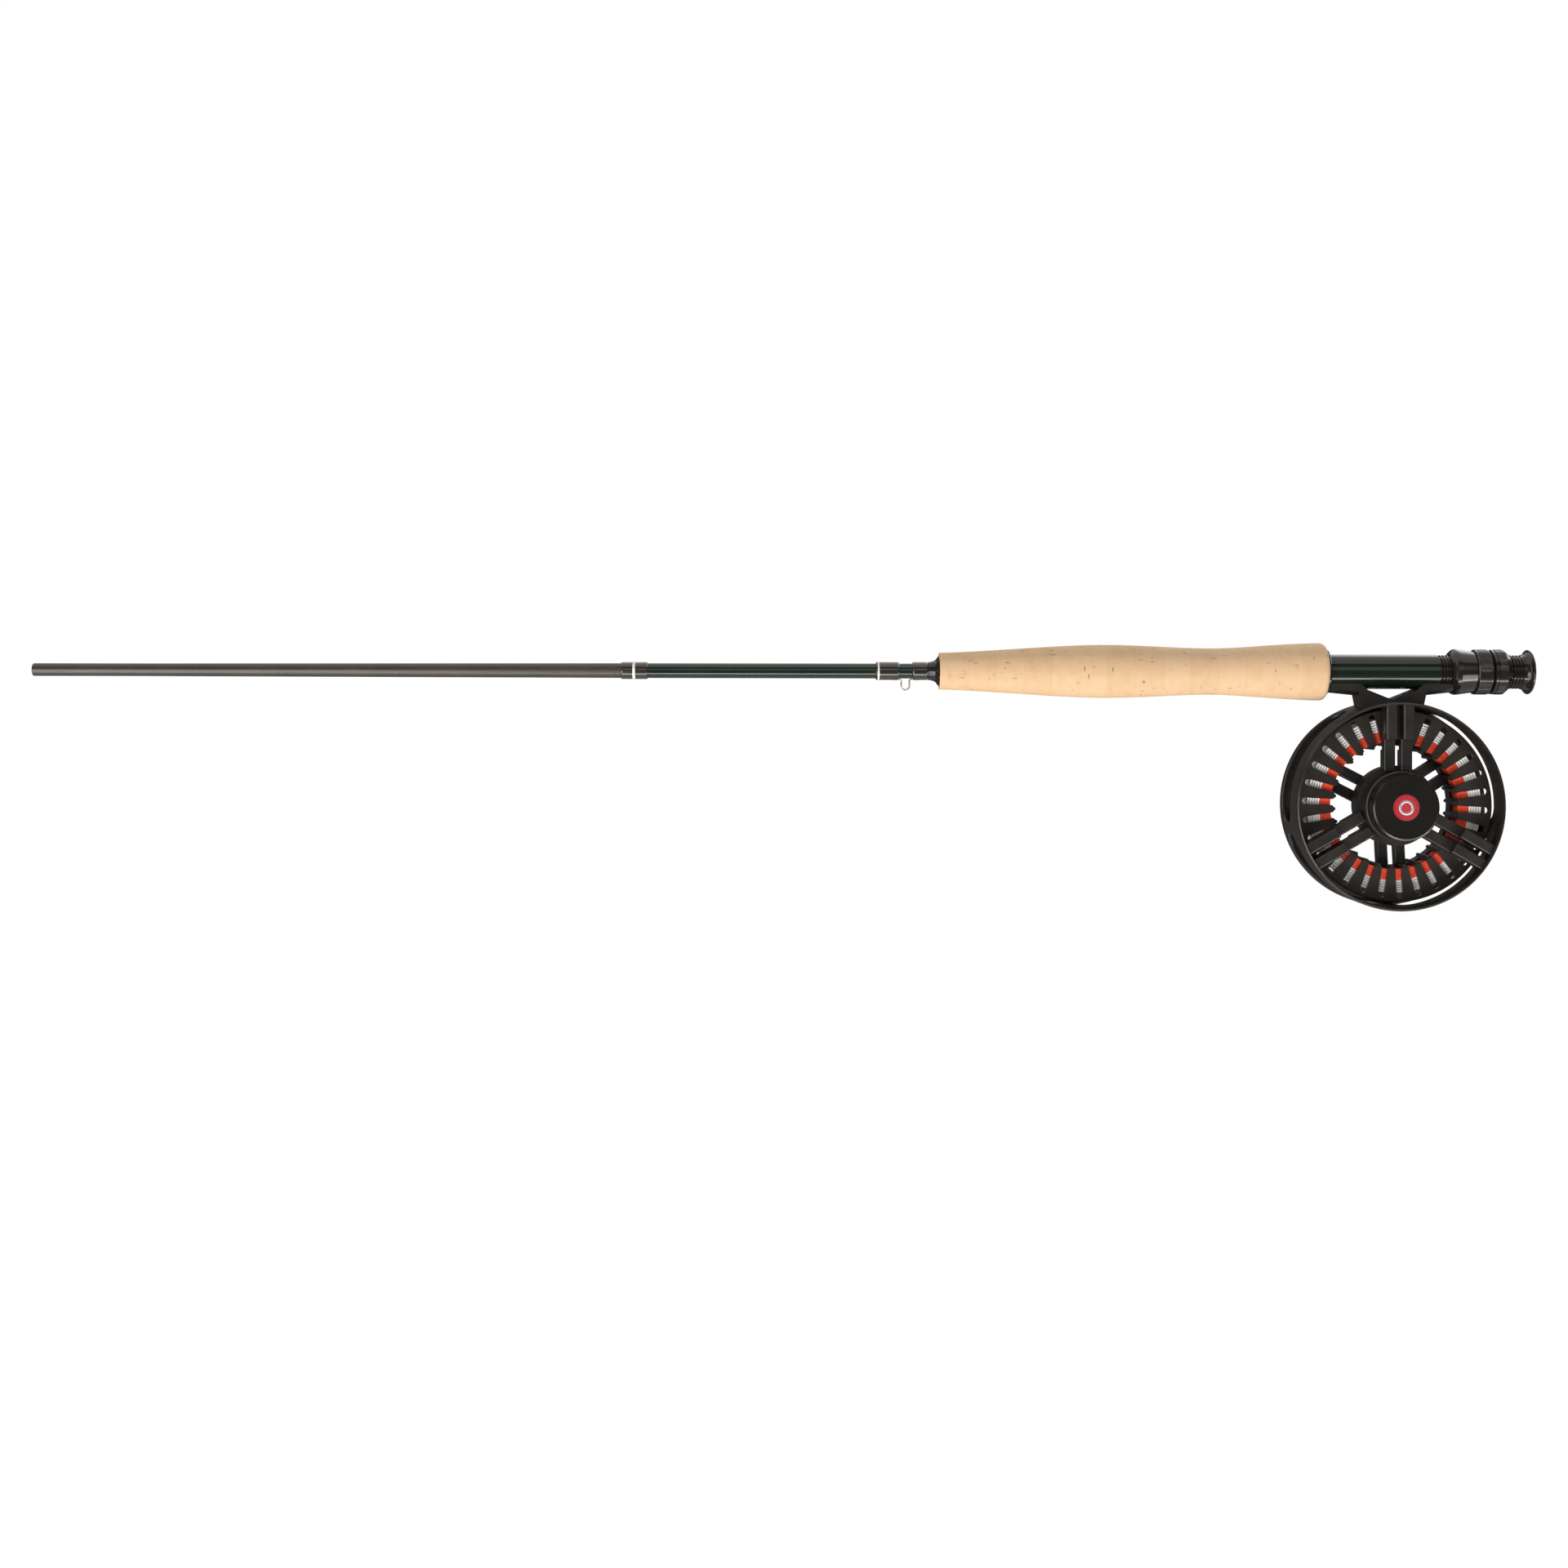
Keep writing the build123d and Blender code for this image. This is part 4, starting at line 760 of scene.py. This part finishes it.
def knurl_recipe() -> Recipe:
    """Rows of small pyramids round the rod's axis.

    Returns:
        The recipe. Its inputs give the first row's X, the step between rows, how many rows and
        pyramids a row there are, the radius they stand on, and each pyramid's width and height.
    """
    recipe = Recipe("knurl", {
        "First X": "Float", "Row Step": "Float", "Rows": "Int", "Around": "Int", "Radius": "Float",
        "Width": "Float", "Height": "Float", "Finish": "Material"})
    given = recipe.given
    index = recipe.add("GeometryNodeInputIndex").outputs[0]
    row = recipe.calculate("FLOOR", recipe.calculate("DIVIDE", index, given["Around"]))
    column = recipe.calculate("MODULO", index, given["Around"])
    offset = recipe.calculate("MULTIPLY", recipe.calculate("MODULO", row, 2.0), 0.5)
    share = recipe.calculate("DIVIDE", recipe.calculate("ADD", column, offset), given["Around"])
    angle = recipe.calculate("MULTIPLY", share, math.tau)
    out_y, out_z = recipe.calculate("COSINE", angle), recipe.calculate("SINE", angle)
    station = recipe.calculate("MULTIPLY_ADD", row, given["Row Step"], given["First X"])
    place = recipe.add("ShaderNodeCombineXYZ", {
        "X": station, "Y": recipe.calculate("MULTIPLY", out_y, given["Radius"]),
        "Z": recipe.calculate("MULTIPLY", out_z, given["Radius"])})
    outward = recipe.add("ShaderNodeCombineXYZ", {"Y": out_y, "Z": out_z})
    count = recipe.calculate("MULTIPLY", given["Rows"], given["Around"])
    points = recipe.add("GeometryNodePoints", {"Count": count, "Position": place.outputs[0]})
    facing = recipe.add("FunctionNodeAlignRotationToVector", {"Vector": outward.outputs[0]}, axis="Z")
    pyramid = recipe.add("GeometryNodeMeshCone", {"Vertices": 4, "Radius Top": 0.0,
                                                  "Radius Bottom": given["Width"], "Depth": given["Height"]})
    teeth = recipe.add("GeometryNodeInstanceOnPoints", {
        "Points": points.outputs[0], "Instance": pyramid.outputs[0], "Rotation": facing.outputs[0]})
    recipe.close(given["Geometry"], teeth.outputs[0])
    return recipe


# ---------------------------------------------------------------- rod
@dataclass
class Whipping:
    """Thread wound round the blank and varnished, over one CAD node."""

    node: str
    thread: float = 0.20 * MM
    shoulder: float = 0.9 * MM
    lip: float = 0.05 * MM
    bore: float = 3.53 * MM
    sunk: float = 0.516
    strand_share: float = 0.52
    curve_steps: int = 6
    segments: int = 64

    def bed_outline(self, start: float, end: float, bed: float) -> Outline:
        """Outline of the varnished bed, rounded down to the blank at both ends."""
        foot = self.bore + self.lip
        outline = [(start, self.bore), (start, foot)]
        for step in range(1, self.curve_steps + 1):
            turn = step / self.curve_steps * math.pi / 2
            outline.append((start + self.shoulder * (1 - math.cos(turn)), foot + (bed - foot) * math.sin(turn)))
        return outline + [(start + end - x, r) for x, r in reversed(outline)]

    def build(self, turns: Recipe, finishes: Finishes) -> Piece:
        """Makes the varnished bed and the turns of thread in it.

        Args:
            turns: The recipe for laid turns.
            finishes: The built finishes.

        Returns:
            The whipping, which stands for its CAD node.
        """
        low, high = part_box(self.node)
        bed = (high.y - low.y) / 2 - self.lip
        room = high.x - low.x - 2 * self.shoulder
        laid = int(room / self.thread)
        pitch = room / laid
        values = {
            "Start": (low.x + self.shoulder + pitch / 2, 0.0, 0.0), "Step": (pitch, 0.0, 0.0),
            "Turns": laid, "Radius": bed - pitch * self.sunk, "Radius Step": 0.0,
            "Strand Radius": pitch * self.strand_share, "Facing": (0.0, math.pi / 2, 0.0),
            "Unevenness": 0.0, "Seed": 1, "Segments": self.segments, "Finish": finishes["thread"]}
        base = turned_mesh(self.bed_outline(low.x, high.x, bed), Lathe.ROD, self.segments)
        piece = turns.make(self.node + "_thread", values, base)
        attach(piece, "rod")
        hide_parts(self.node)
        LOG.info("%s has %d turns", piece.name, laid)
        return piece


@dataclass
class RodSection:
    """Blank, whippings, trim bands and the wire keeper."""

    whippings: tuple[Whipping, ...] = (
        Whipping("upper_whipping"), Whipping("keeper_whipping_front"), Whipping("keeper_whipping_rear"))

    def build(self, frame: dict, turns: Recipe, finishes: Finishes) -> None:
        """Dresses the rod's CAD nodes and winds its thread."""
        finishes.dress(frame, {
            "rod_blank": "blank", "upper_trim_band": "trim", "lower_trim_band": "trim",
            "hook_keeper": "steel", "winding_check": "hardware"})
        for whipping in self.whippings:
            whipping.build(turns, finishes)


@dataclass
class CorkGrip:
    """Grip of glued cork rings, with pores cut in its skin."""

    rings: int = 14
    around: int = 192
    stations: int = 372
    pores: int = 300
    bore: float = 3.66 * MM
    socket_r: float = 10.2 * MM
    socket_depth: float = 14.0 * MM
    smallest_r: float = 8.0 * MM
    step_limit: float = 0.8 * MM
    long_share: float = 0.8
    pore_length: Range = (0.4 * MM, 1.5 * MM)
    pore_width: Range = (0.2 * MM, 0.36 * MM)
    pore_depth: Range = (0.04 * MM, 0.20 * MM)
    pore_tone: Range = (0.15, 1.0)
    tone_bias: float = 1.6
    groove: float = 0.02 * MM
    groove_width: float = 0.45 * MM
    line_limit: float = 0.008 * MM
    line_shade: float = 0.07
    seed: int = 7

    def profile(self, frame: dict) -> Outline:
        """Outside radius by station, read from the CAD grip.

        Args:
            frame: The loaded frame.

        Returns:
            Points as (station, radius), from the front to the rear.
        """
        widest = {}
        for vertex in frame["nodes"]["cork_grip"].data.vertices:
            station = round(vertex.co.x, 5)
            radius = math.hypot(vertex.co.y, vertex.co.z)
            widest[station] = max(widest.get(station, 0.0), radius)
        points = [(x, r) for x, r in sorted(widest.items()) if r > self.smallest_r]
        kept = [points[0]]
        for before, point, after in zip(points, points[1:], points[2:]):
            if point[1] > min(before[1], after[1]) - self.step_limit:
                kept.append(point)
        return kept + [points[-1]]

    @staticmethod
    def radius_at(profile: Outline, x: float) -> float:
        """Radius of the profile at a station, on a smooth curve through its points."""
        last = len(profile) - 1
        upper = next((i for i, point in enumerate(profile) if point[0] >= x), last)
        upper = max(upper, 1)
        (x1, r1), (x2, r2) = profile[upper - 1], profile[upper]
        (x0, r0), (x3, r3) = profile[max(upper - 2, 0)], profile[min(upper + 1, last)]
        share = min(max((x - x1) / (x2 - x1), 0.0), 1.0)
        slope_1 = (r2 - r0) / (x2 - x0) * (x2 - x1)
        slope_2 = (r3 - r1) / (x3 - x1) * (x2 - x1)
        square, cube = share * share, share ** 3
        return ((2 * cube - 3 * square + 1) * r1 + (cube - 2 * square + share) * slope_1
                + (3 * square - 2 * cube) * r2 + (cube - square) * slope_2)

    def build(self, frame: dict, finishes: Finishes) -> Piece:
        """Makes the grip's skin, bore and hood socket as one closed shell.

        Args:
            frame: The loaded frame.
            finishes: The built finishes.

        Returns:
            The grip, which stands for the CAD grip.
        """
        dice = random.Random(self.seed)
        profile = self.profile(frame)
        front, rear = profile[0][0], profile[-1][0]
        ring_length = (rear - front) / self.rings
        stations = [front + (rear - front) * step / self.stations for step in range(self.stations + 1)]
        skin, lines = [], []
        for x in stations:
            to_joint = abs((x - front + ring_length / 2) % ring_length - ring_length / 2)
            inside = 0 < round((x - front) / ring_length) < self.rings
            groove = self.groove * (1 - smooth_between(to_joint, 0.0, self.groove_width)) * inside
            skin.append(self.radius_at(profile, x) - groove)
            lines.append(self.line_shade if groove > self.line_limit else 0.0)
        depth = [[0.0] * self.around for _ in stations]
        shade = [[line] * self.around for line in lines]
        self.cut_pores(dice, stations, skin, depth, shade)
        tones = [dice.uniform(-1, 1) for _ in range(self.rings + 1)]
        shell = bmesh.new()
        pore_layer = shell.verts.layers.float.new("pore")
        tone_layer = shell.verts.layers.float.new("ring_tone")
        rows = []
        for x, radius, sunk, dark in zip(stations, skin, depth, shade):
            row = self.row(shell, x, [radius - deep for deep in sunk])
            for vertex, share in zip(row, dark):
                vertex[pore_layer] = share
                vertex[tone_layer] = tones[min(int((x - front) / ring_length), self.rings - 1)]
            rows.append(row)
        socket = rear - self.socket_depth
        inner = ((rear, self.socket_r), (socket, self.socket_r), (socket, self.bore), (front, self.bore))
        rows += [self.row(shell, x, [radius] * self.around) for x, radius in inner]
        mesh = lofted(shell, rows, "cork_grip_skin")
        piece = finished("cork_grip_skin", mesh, 50.0)
        mesh.materials.append(finishes["cork"])
        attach(piece, "rod")
        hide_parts("cork_grip")
        LOG.info("cork grip has %d pores", self.pores)
        return piece

    def row(self, shell: bmesh.types.BMesh, x: float, radii: list[float]) -> list[bmesh.types.BMVert]:
        """One row of points round the rod's axis."""
        return [shell.verts.new(placed(Lathe.ROD, x, radius, math.tau * step / self.around))
                for step, radius in enumerate(radii)]

    def cut_pores(self, dice: random.Random, stations: list[float], skin: list[float],
                  depth: list[list[float]], shade: list[list[float]]) -> None:
        """Cuts seeded pores in the skin.

        Args:
            dice: The seeded random source.
            stations: X of each row.
            skin: Radius of each row.
            depth: How far in each point goes, changed here.
            shade: How dark each point is, changed here.
        """
        step_x = stations[1] - stations[0]
        for _ in range(self.pores):
            row = dice.randrange(3, len(stations) - 3)
            column = dice.randrange(self.around)
            long_way = dice.random() < self.long_share
            major = dice.uniform(*self.pore_length)
            minor = dice.uniform(*self.pore_width)
            half_x, half_a = (major, minor) if long_way else (minor, major)
            deep = dice.uniform(*self.pore_depth)
            dark = dice.uniform(*self.pore_tone) ** self.tone_bias
            step_a = math.tau * skin[row] / self.around
            reach_a, reach_x = int(half_a / step_a) + 1, int(half_x / step_x) + 1
            for across in range(-reach_a, reach_a + 1):
                for along in range(-reach_x, reach_x + 1):
                    line = row + along
                    if not 1 <= line < len(stations) - 1:
                        continue
                    reach = math.hypot(along * step_x / half_x, across * step_a / half_a)
                    share = 1 - smooth_between(reach, 0.35, 1.15)
                    place = (column + across) % self.around
                    depth[line][place] = max(depth[line][place], deep * share)
                    shade[line][place] = max(shade[line][place], dark * share)


# ---------------------------------------------------------------- reel seat
@dataclass
class NutKnurl:
    """Knurled band on one lock nut."""

    node: str
    body: str
    pattern: Knurl
    start: float
    end: float
    height: float = 0.16 * MM
    tooth: float = 0.62 * MM
    fine_share: float = 0.6
    sunk: float = 0.05 * MM

    def build(self, recipe: Recipe, finishes: Finishes) -> Piece:
        """Rolls the knurl on the nut's rim.

        Args:
            recipe: The knurl recipe.
            finishes: The built finishes.

        Returns:
            The band of teeth, riding with its nut.
        """
        low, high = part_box(self.node)
        radius = (high.y - low.y) / 2
        diamond = self.pattern is Knurl.DIAMOND
        across = self.tooth * (1.0 if diamond else self.fine_share)
        around = int(math.tau * radius / across)
        row_step = across * (0.5 if diamond else 0.9)
        rows = max(int((self.end - self.start) / row_step), 1)
        values = {
            "First X": low.x + self.start + row_step / 2, "Row Step": row_step, "Rows": rows,
            "Around": around, "Radius": radius - self.sunk, "Width": across * 0.5, "Height": self.height,
            "Finish": finishes["hardware"]}
        piece = recipe.make(self.node + "_knurl", values, sharp=20.0)
        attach(piece, self.body)
        LOG.info("%s has %d teeth", piece.name, rows * around)
        return piece


@dataclass
class ReelSeat:
    """Threaded barrel, hoods, lock nuts and butt cap."""

    knurls: tuple[NutKnurl, ...] = (
        NutKnurl("lock_nut_front", "front_nut", Knurl.DIAMOND, 0.8 * MM, 6.2 * MM),
        NutKnurl("lock_nut_rear", "rear_nut", Knurl.FINE, 2.2 * MM, 5.5 * MM, height=0.14 * MM))

    def build(self, frame: dict, knurl: Recipe, finishes: Finishes) -> None:
        """Dresses the seat's CAD nodes and rolls the nuts' knurls."""
        finishes.dress(frame, {
            "fixed_hood": "hardware", "seat_barrel": "barrel", "seat_arbors": "cork",
            "sliding_hood": "hardware", "hood_snap_ring": "steel", "lock_nut_front": "hardware",
            "lock_nut_rear": "hardware", "butt_cap": "hardware", "butt_pad": "rubber",
            "reel_foot": "reel", "foot_screws": "steel"})
        for band in self.knurls:
            band.build(knurl, finishes)


# ---------------------------------------------------------------- reel
@dataclass
class DragKnob:
    """Drag knob's medallion: an enamel disc with a plain raised ring."""

    ring_inner: float = 2.25 * MM
    ring_outer: float = 3.45 * MM
    ring_rise: float = 0.28 * MM
    dome: float = 0.20 * MM
    inset: float = 0.25 * MM
    edge: float = 0.15 * MM
    dome_steps: int = 8
    ring_steps: int = 10

    def build(self, finishes: Finishes) -> None:
        """Makes the disc and the ring, which stand for the CAD medallion."""
        low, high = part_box("knob_medallion")
        radius = (high.x - low.x) / 2
        back, face = high.y, low.y + self.inset
        outline = [(back, 0.0), (back, radius), (face + self.edge, radius)]
        for step in range(1, self.dome_steps + 1):
            turn = step / self.dome_steps * math.pi / 2
            out = radius * math.cos(turn) if step < self.dome_steps else 0.0
            outline.append((face - self.dome * math.sin(turn) * 0.9, out))
        disc = finished("medallion_disc", turned_mesh(outline, Lathe.REEL), 40.0)
        disc.data.materials.append(finishes["enamel"])
        middle, half = (self.ring_inner + self.ring_outer) / 2, (self.ring_outer - self.ring_inner) / 2
        turns = [step * math.pi / self.ring_steps for step in range(self.ring_steps + 1)]
        rounded = [(face - self.dome - self.ring_rise * math.sin(turn), middle - half * math.cos(turn))
                   for turn in turns]
        section = [(face, self.ring_inner)] + rounded + [(face, self.ring_outer)]
        ring = finished("medallion_ring", turned_mesh(section, Lathe.REEL), 60.0)
        ring.data.materials.append(finishes["silver"])
        for piece in (disc, ring):
            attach(piece, "knob")
        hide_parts("knob_medallion")
        LOG.info("medallion made")


@dataclass
class Winding:
    """Line or backing wound on the spool, over one CAD node."""

    node: str
    finish: str
    strand: float
    seed: int
    unevenness: float
    outer_layer: bool
    inner_layer: bool
    core_inset: float = 0.55
    strand_share: float = 0.47
    segments: int = 120

    def build(self, turns: Recipe, finishes: Finishes) -> None:
        """Winds the two faces and the outer or inner layer round a plain core.

        Args:
            turns: The recipe for laid turns.
            finishes: The built finishes.
        """
        low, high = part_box(self.node)
        outer = (high.x - low.x) / 2
        inner = self.inner_radius()
        centre = reel_centre()
        inset = self.strand * self.core_inset
        near, far = low.y, high.y
        core_inner = inner + inset * self.inner_layer
        core_outer = outer - inset * self.outer_layer
        core = turned_mesh([(near + inset, core_inner), (near + inset, core_outer),
                            (far - inset, core_outer), (far - inset, core_inner)], Lathe.REEL, self.segments)
        rows = int((outer - inner) / self.strand)
        pitch = (outer - inner) / rows
        common = {"Facing": (math.pi / 2, 0.0, 0.0), "Unevenness": self.unevenness,
                  "Segments": self.segments, "Finish": finishes[self.finish],
                  "Strand Radius": pitch * self.strand_share}
        pieces = []
        for name, depth, base in (("near", near + pitch / 2, core), ("far", far - pitch / 2, None)):
            values = common | {"Start": (centre.x, depth, centre.z), "Step": (0.0, 0.0, 0.0),
                               "Turns": rows, "Radius": inner + pitch / 2, "Radius Step": pitch,
                               "Seed": self.seed}
            pieces.append(turns.make(f"{self.node}_{name}", values, base))
        count = int((far - near) / pitch) - 1
        step = (far - near - pitch) / count
        for name, radius, wanted in (("outer", outer - pitch / 2, self.outer_layer),
                                     ("inner", inner + pitch / 2, self.inner_layer)):
            if wanted:
                values = common | {"Start": (centre.x, near + pitch / 2 + step / 2, centre.z),
                                   "Step": (0.0, step, 0.0), "Turns": count, "Radius": radius,
                                   "Radius Step": 0.0, "Unevenness": 0.0, "Seed": self.seed + 3}
                pieces.append(turns.make(f"{self.node}_{name}", values))
        for piece in pieces:
            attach(piece, "spool")
        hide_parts(self.node)
        LOG.info("%s wound in %d rows", self.node, rows)

    def inner_radius(self) -> float:
        """Smallest radius of the CAD winding's points."""
        centre = reel_centre()
        vertices = bpy.data.objects[self.node].data.vertices
        return min(math.hypot(v.co.x - centre.x, v.co.z - centre.z) for v in vertices)


@dataclass
class Reel:
    """Frame, drag, spool, windings, handle and latch."""

    knob: DragKnob = field(default_factory=DragKnob)
    windings: tuple[Winding, ...] = (
        Winding("backing_winding", "backing", 0.62 * MM, 21, 0.02 * MM, False, True),
        Winding("fly_line_winding", "fly_line", 1.02 * MM, 22, 0.03 * MM, True, False))

    def build(self, frame: dict, turns: Recipe, finishes: Finishes) -> None:
        """Dresses the reel's CAD nodes, then makes its medallion and windings."""
        finishes.dress(frame, {
            "reel_frame": "reel", "drag_housing": "reel_turned", "drag_knob": "knob", "spool": "reel",
            "spool_cap": "reel_turned", "counterweight": "steel", "counterweight_stud": "steel",
            "handle_post": "steel", "handle_screw": "steel", "handle_knob": "grip",
            "release_button": "reel_turned", "latch_spring": "steel", "spindle": "steel",
            "drag_springs": "steel", "thrust_washer": "brass", "friction_disc_front": "friction",
            "friction_disc_rear": "friction", "hub_seal": "rubber", "pawl_pin": "steel",
            "detent_ball": "steel", "detent_spring": "steel", "drag_knob_insert": "brass",
            "knob_o_ring": "rubber", "rotor_plate": "steel", "clutch_sleeve": "steel",
            "click_gear": "brass", "spool_bearing": "steel", "one_way_clutch": "steel",
            "click_pawl": "steel", "pawl_spring": "steel"})
        self.knob.build(finishes)
        for winding in self.windings:
            winding.build(turns, finishes)


# ---------------------------------------------------------------- studio
@dataclass(frozen=True)
class Softbox:
    """One area light that faces a point."""

    name: str
    place: Point
    size: tuple[float, float]
    radiance: float
    target: Point = (0.0, 0.0, 0.0)
    warmth: Colour = (1.0, 0.985, 0.96)

    def build(self) -> None:
        """Puts the light in the scene, unseen by the camera itself."""
        light = bpy.data.lights.new(self.name, "AREA")
        light.shape = "RECTANGLE"
        light.size, light.size_y = self.size
        light.energy = self.radiance * math.pi * self.size[0] * self.size[1]
        light.color = self.warmth
        lamp = bpy.data.objects.new(self.name, light)
        lamp.location = self.place
        away = Vector(self.target) - Vector(self.place)
        lamp.rotation_euler = away.to_track_quat("-Z", "Y").to_euler()
        lamp.visible_camera = False
        bpy.context.scene.collection.objects.link(lamp)


@dataclass
class Studio:
    """Camera, floor, lights and surroundings."""

    camera_place: Point = (-0.1639, -0.943, -0.0082)
    lens: float = 46.2
    sensor: float = 36.0
    shift_y: float = -0.061
    roll: float = -0.1
    floor_z: float = -0.80
    floor_half_width: float = 2.0
    floor_near_y: float = -2.5
    floor_far_y: float = 0.84
    fill: float = 0.10
    backdrop: float = 1.02
    softboxes: tuple[Softbox, ...] = (
        Softbox("overhead", (0.0, 0.305, 0.70), (2.2, 1.6), 1.2, (0.0, 0.305, 0.0)),
        Softbox("camera_strip", (0.2, -1.09, 0.40), (1.4, 0.45), 1.0),
        Softbox("low_strip", (0.0, -0.60, -0.67), (1.9, 0.12), 12.0),
        Softbox("left_key", (-0.75, -0.95, -0.34), (0.7, 0.6), 7.0),
        Softbox("left_strip", (-1.15, -0.42, -0.05), (0.14, 1.5), 5.0),
        Softbox("right_panel", (0.95, -0.80, -0.55), (0.5, 0.5), 6.5, (0.12, 0.0, 0.0)),
        Softbox("rear_fill", (1.0, 0.9, 0.8), (1.4, 1.0), 2.0))

    def build_camera(self) -> None:
        """Makes the camera, level and square to the rod."""
        data = bpy.data.cameras.new("camera")
        data.lens, data.sensor_width, data.shift_y = self.lens, self.sensor, self.shift_y
        camera = bpy.data.objects.new("camera", data)
        camera.location = self.camera_place
        camera.rotation_euler = (math.pi / 2, math.radians(self.roll), 0.0)
        bpy.context.scene.collection.objects.link(camera)
        bpy.context.scene.camera = camera

    def build_floor(self) -> None:
        """Lays the plain pale floor."""
        shell = bmesh.new()
        half, near, far = self.floor_half_width, self.floor_near_y, self.floor_far_y
        corners = ((-half, near), (half, near), (half, far), (-half, far))
        shell.faces.new([shell.verts.new((x, y, self.floor_z)) for x, y in corners])
        mesh = kept(shell, "floor")
        floor = bpy.data.objects.new("floor", mesh)
        bpy.context.scene.collection.objects.link(floor)
        surface = Surface("studio_floor")
        grain = surface.noise(30 * MM, 2.0)
        surface.set(Base_Color=surface.mixed(grain, (0.82, 0.82, 0.81), (0.86, 0.86, 0.85)), Roughness=0.8)
        mesh.materials.append(surface.material)

    def build_surroundings(self) -> None:
        """A white background for the camera, and a dim even light from all round."""
        world = bpy.data.worlds.new("studio")
        world.use_nodes = True
        sky = Nodes(world.node_tree)
        sky.tree.nodes.clear()
        white = (1.0, 1.0, 1.0)
        lit = sky.add("ShaderNodeBackground", {"Color": white, "Strength": self.fill})
        seen = sky.add("ShaderNodeBackground", {"Color": white, "Strength": self.backdrop})
        path = sky.add("ShaderNodeLightPath")
        choice = sky.add("ShaderNodeMixShader", {
            0: path.outputs["Is Camera Ray"], 1: lit.outputs[0], 2: seen.outputs[0]})
        sky.add("ShaderNodeOutputWorld", {"Surface": choice.outputs[0]})
        bpy.context.scene.world = world

    def build_lights(self) -> None:
        """Hangs the softboxes."""
        for softbox in self.softboxes:
            softbox.build()
            LOG.info("light %s", softbox.name)
        bpy.context.scene.view_settings.view_transform = "Standard"


def main() -> None:
    """Builds the sub-assemblies in order."""
    logging.basicConfig(level=logging.INFO, format="%(message)s")
    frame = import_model()
    studio = Studio()
    studio.build_camera()
    finishes = Finishes()
    finishes.build()
    turns = turns_recipe()
    knurl = knurl_recipe()
    RodSection().build(frame, turns, finishes)
    CorkGrip().build(frame, finishes)
    ReelSeat().build(frame, knurl, finishes)
    Reel().build(frame, turns, finishes)
    studio.build_floor()
    studio.build_surroundings()
    studio.build_lights()
    LOG.info("size written")


if __name__ == "__main__":
    main()
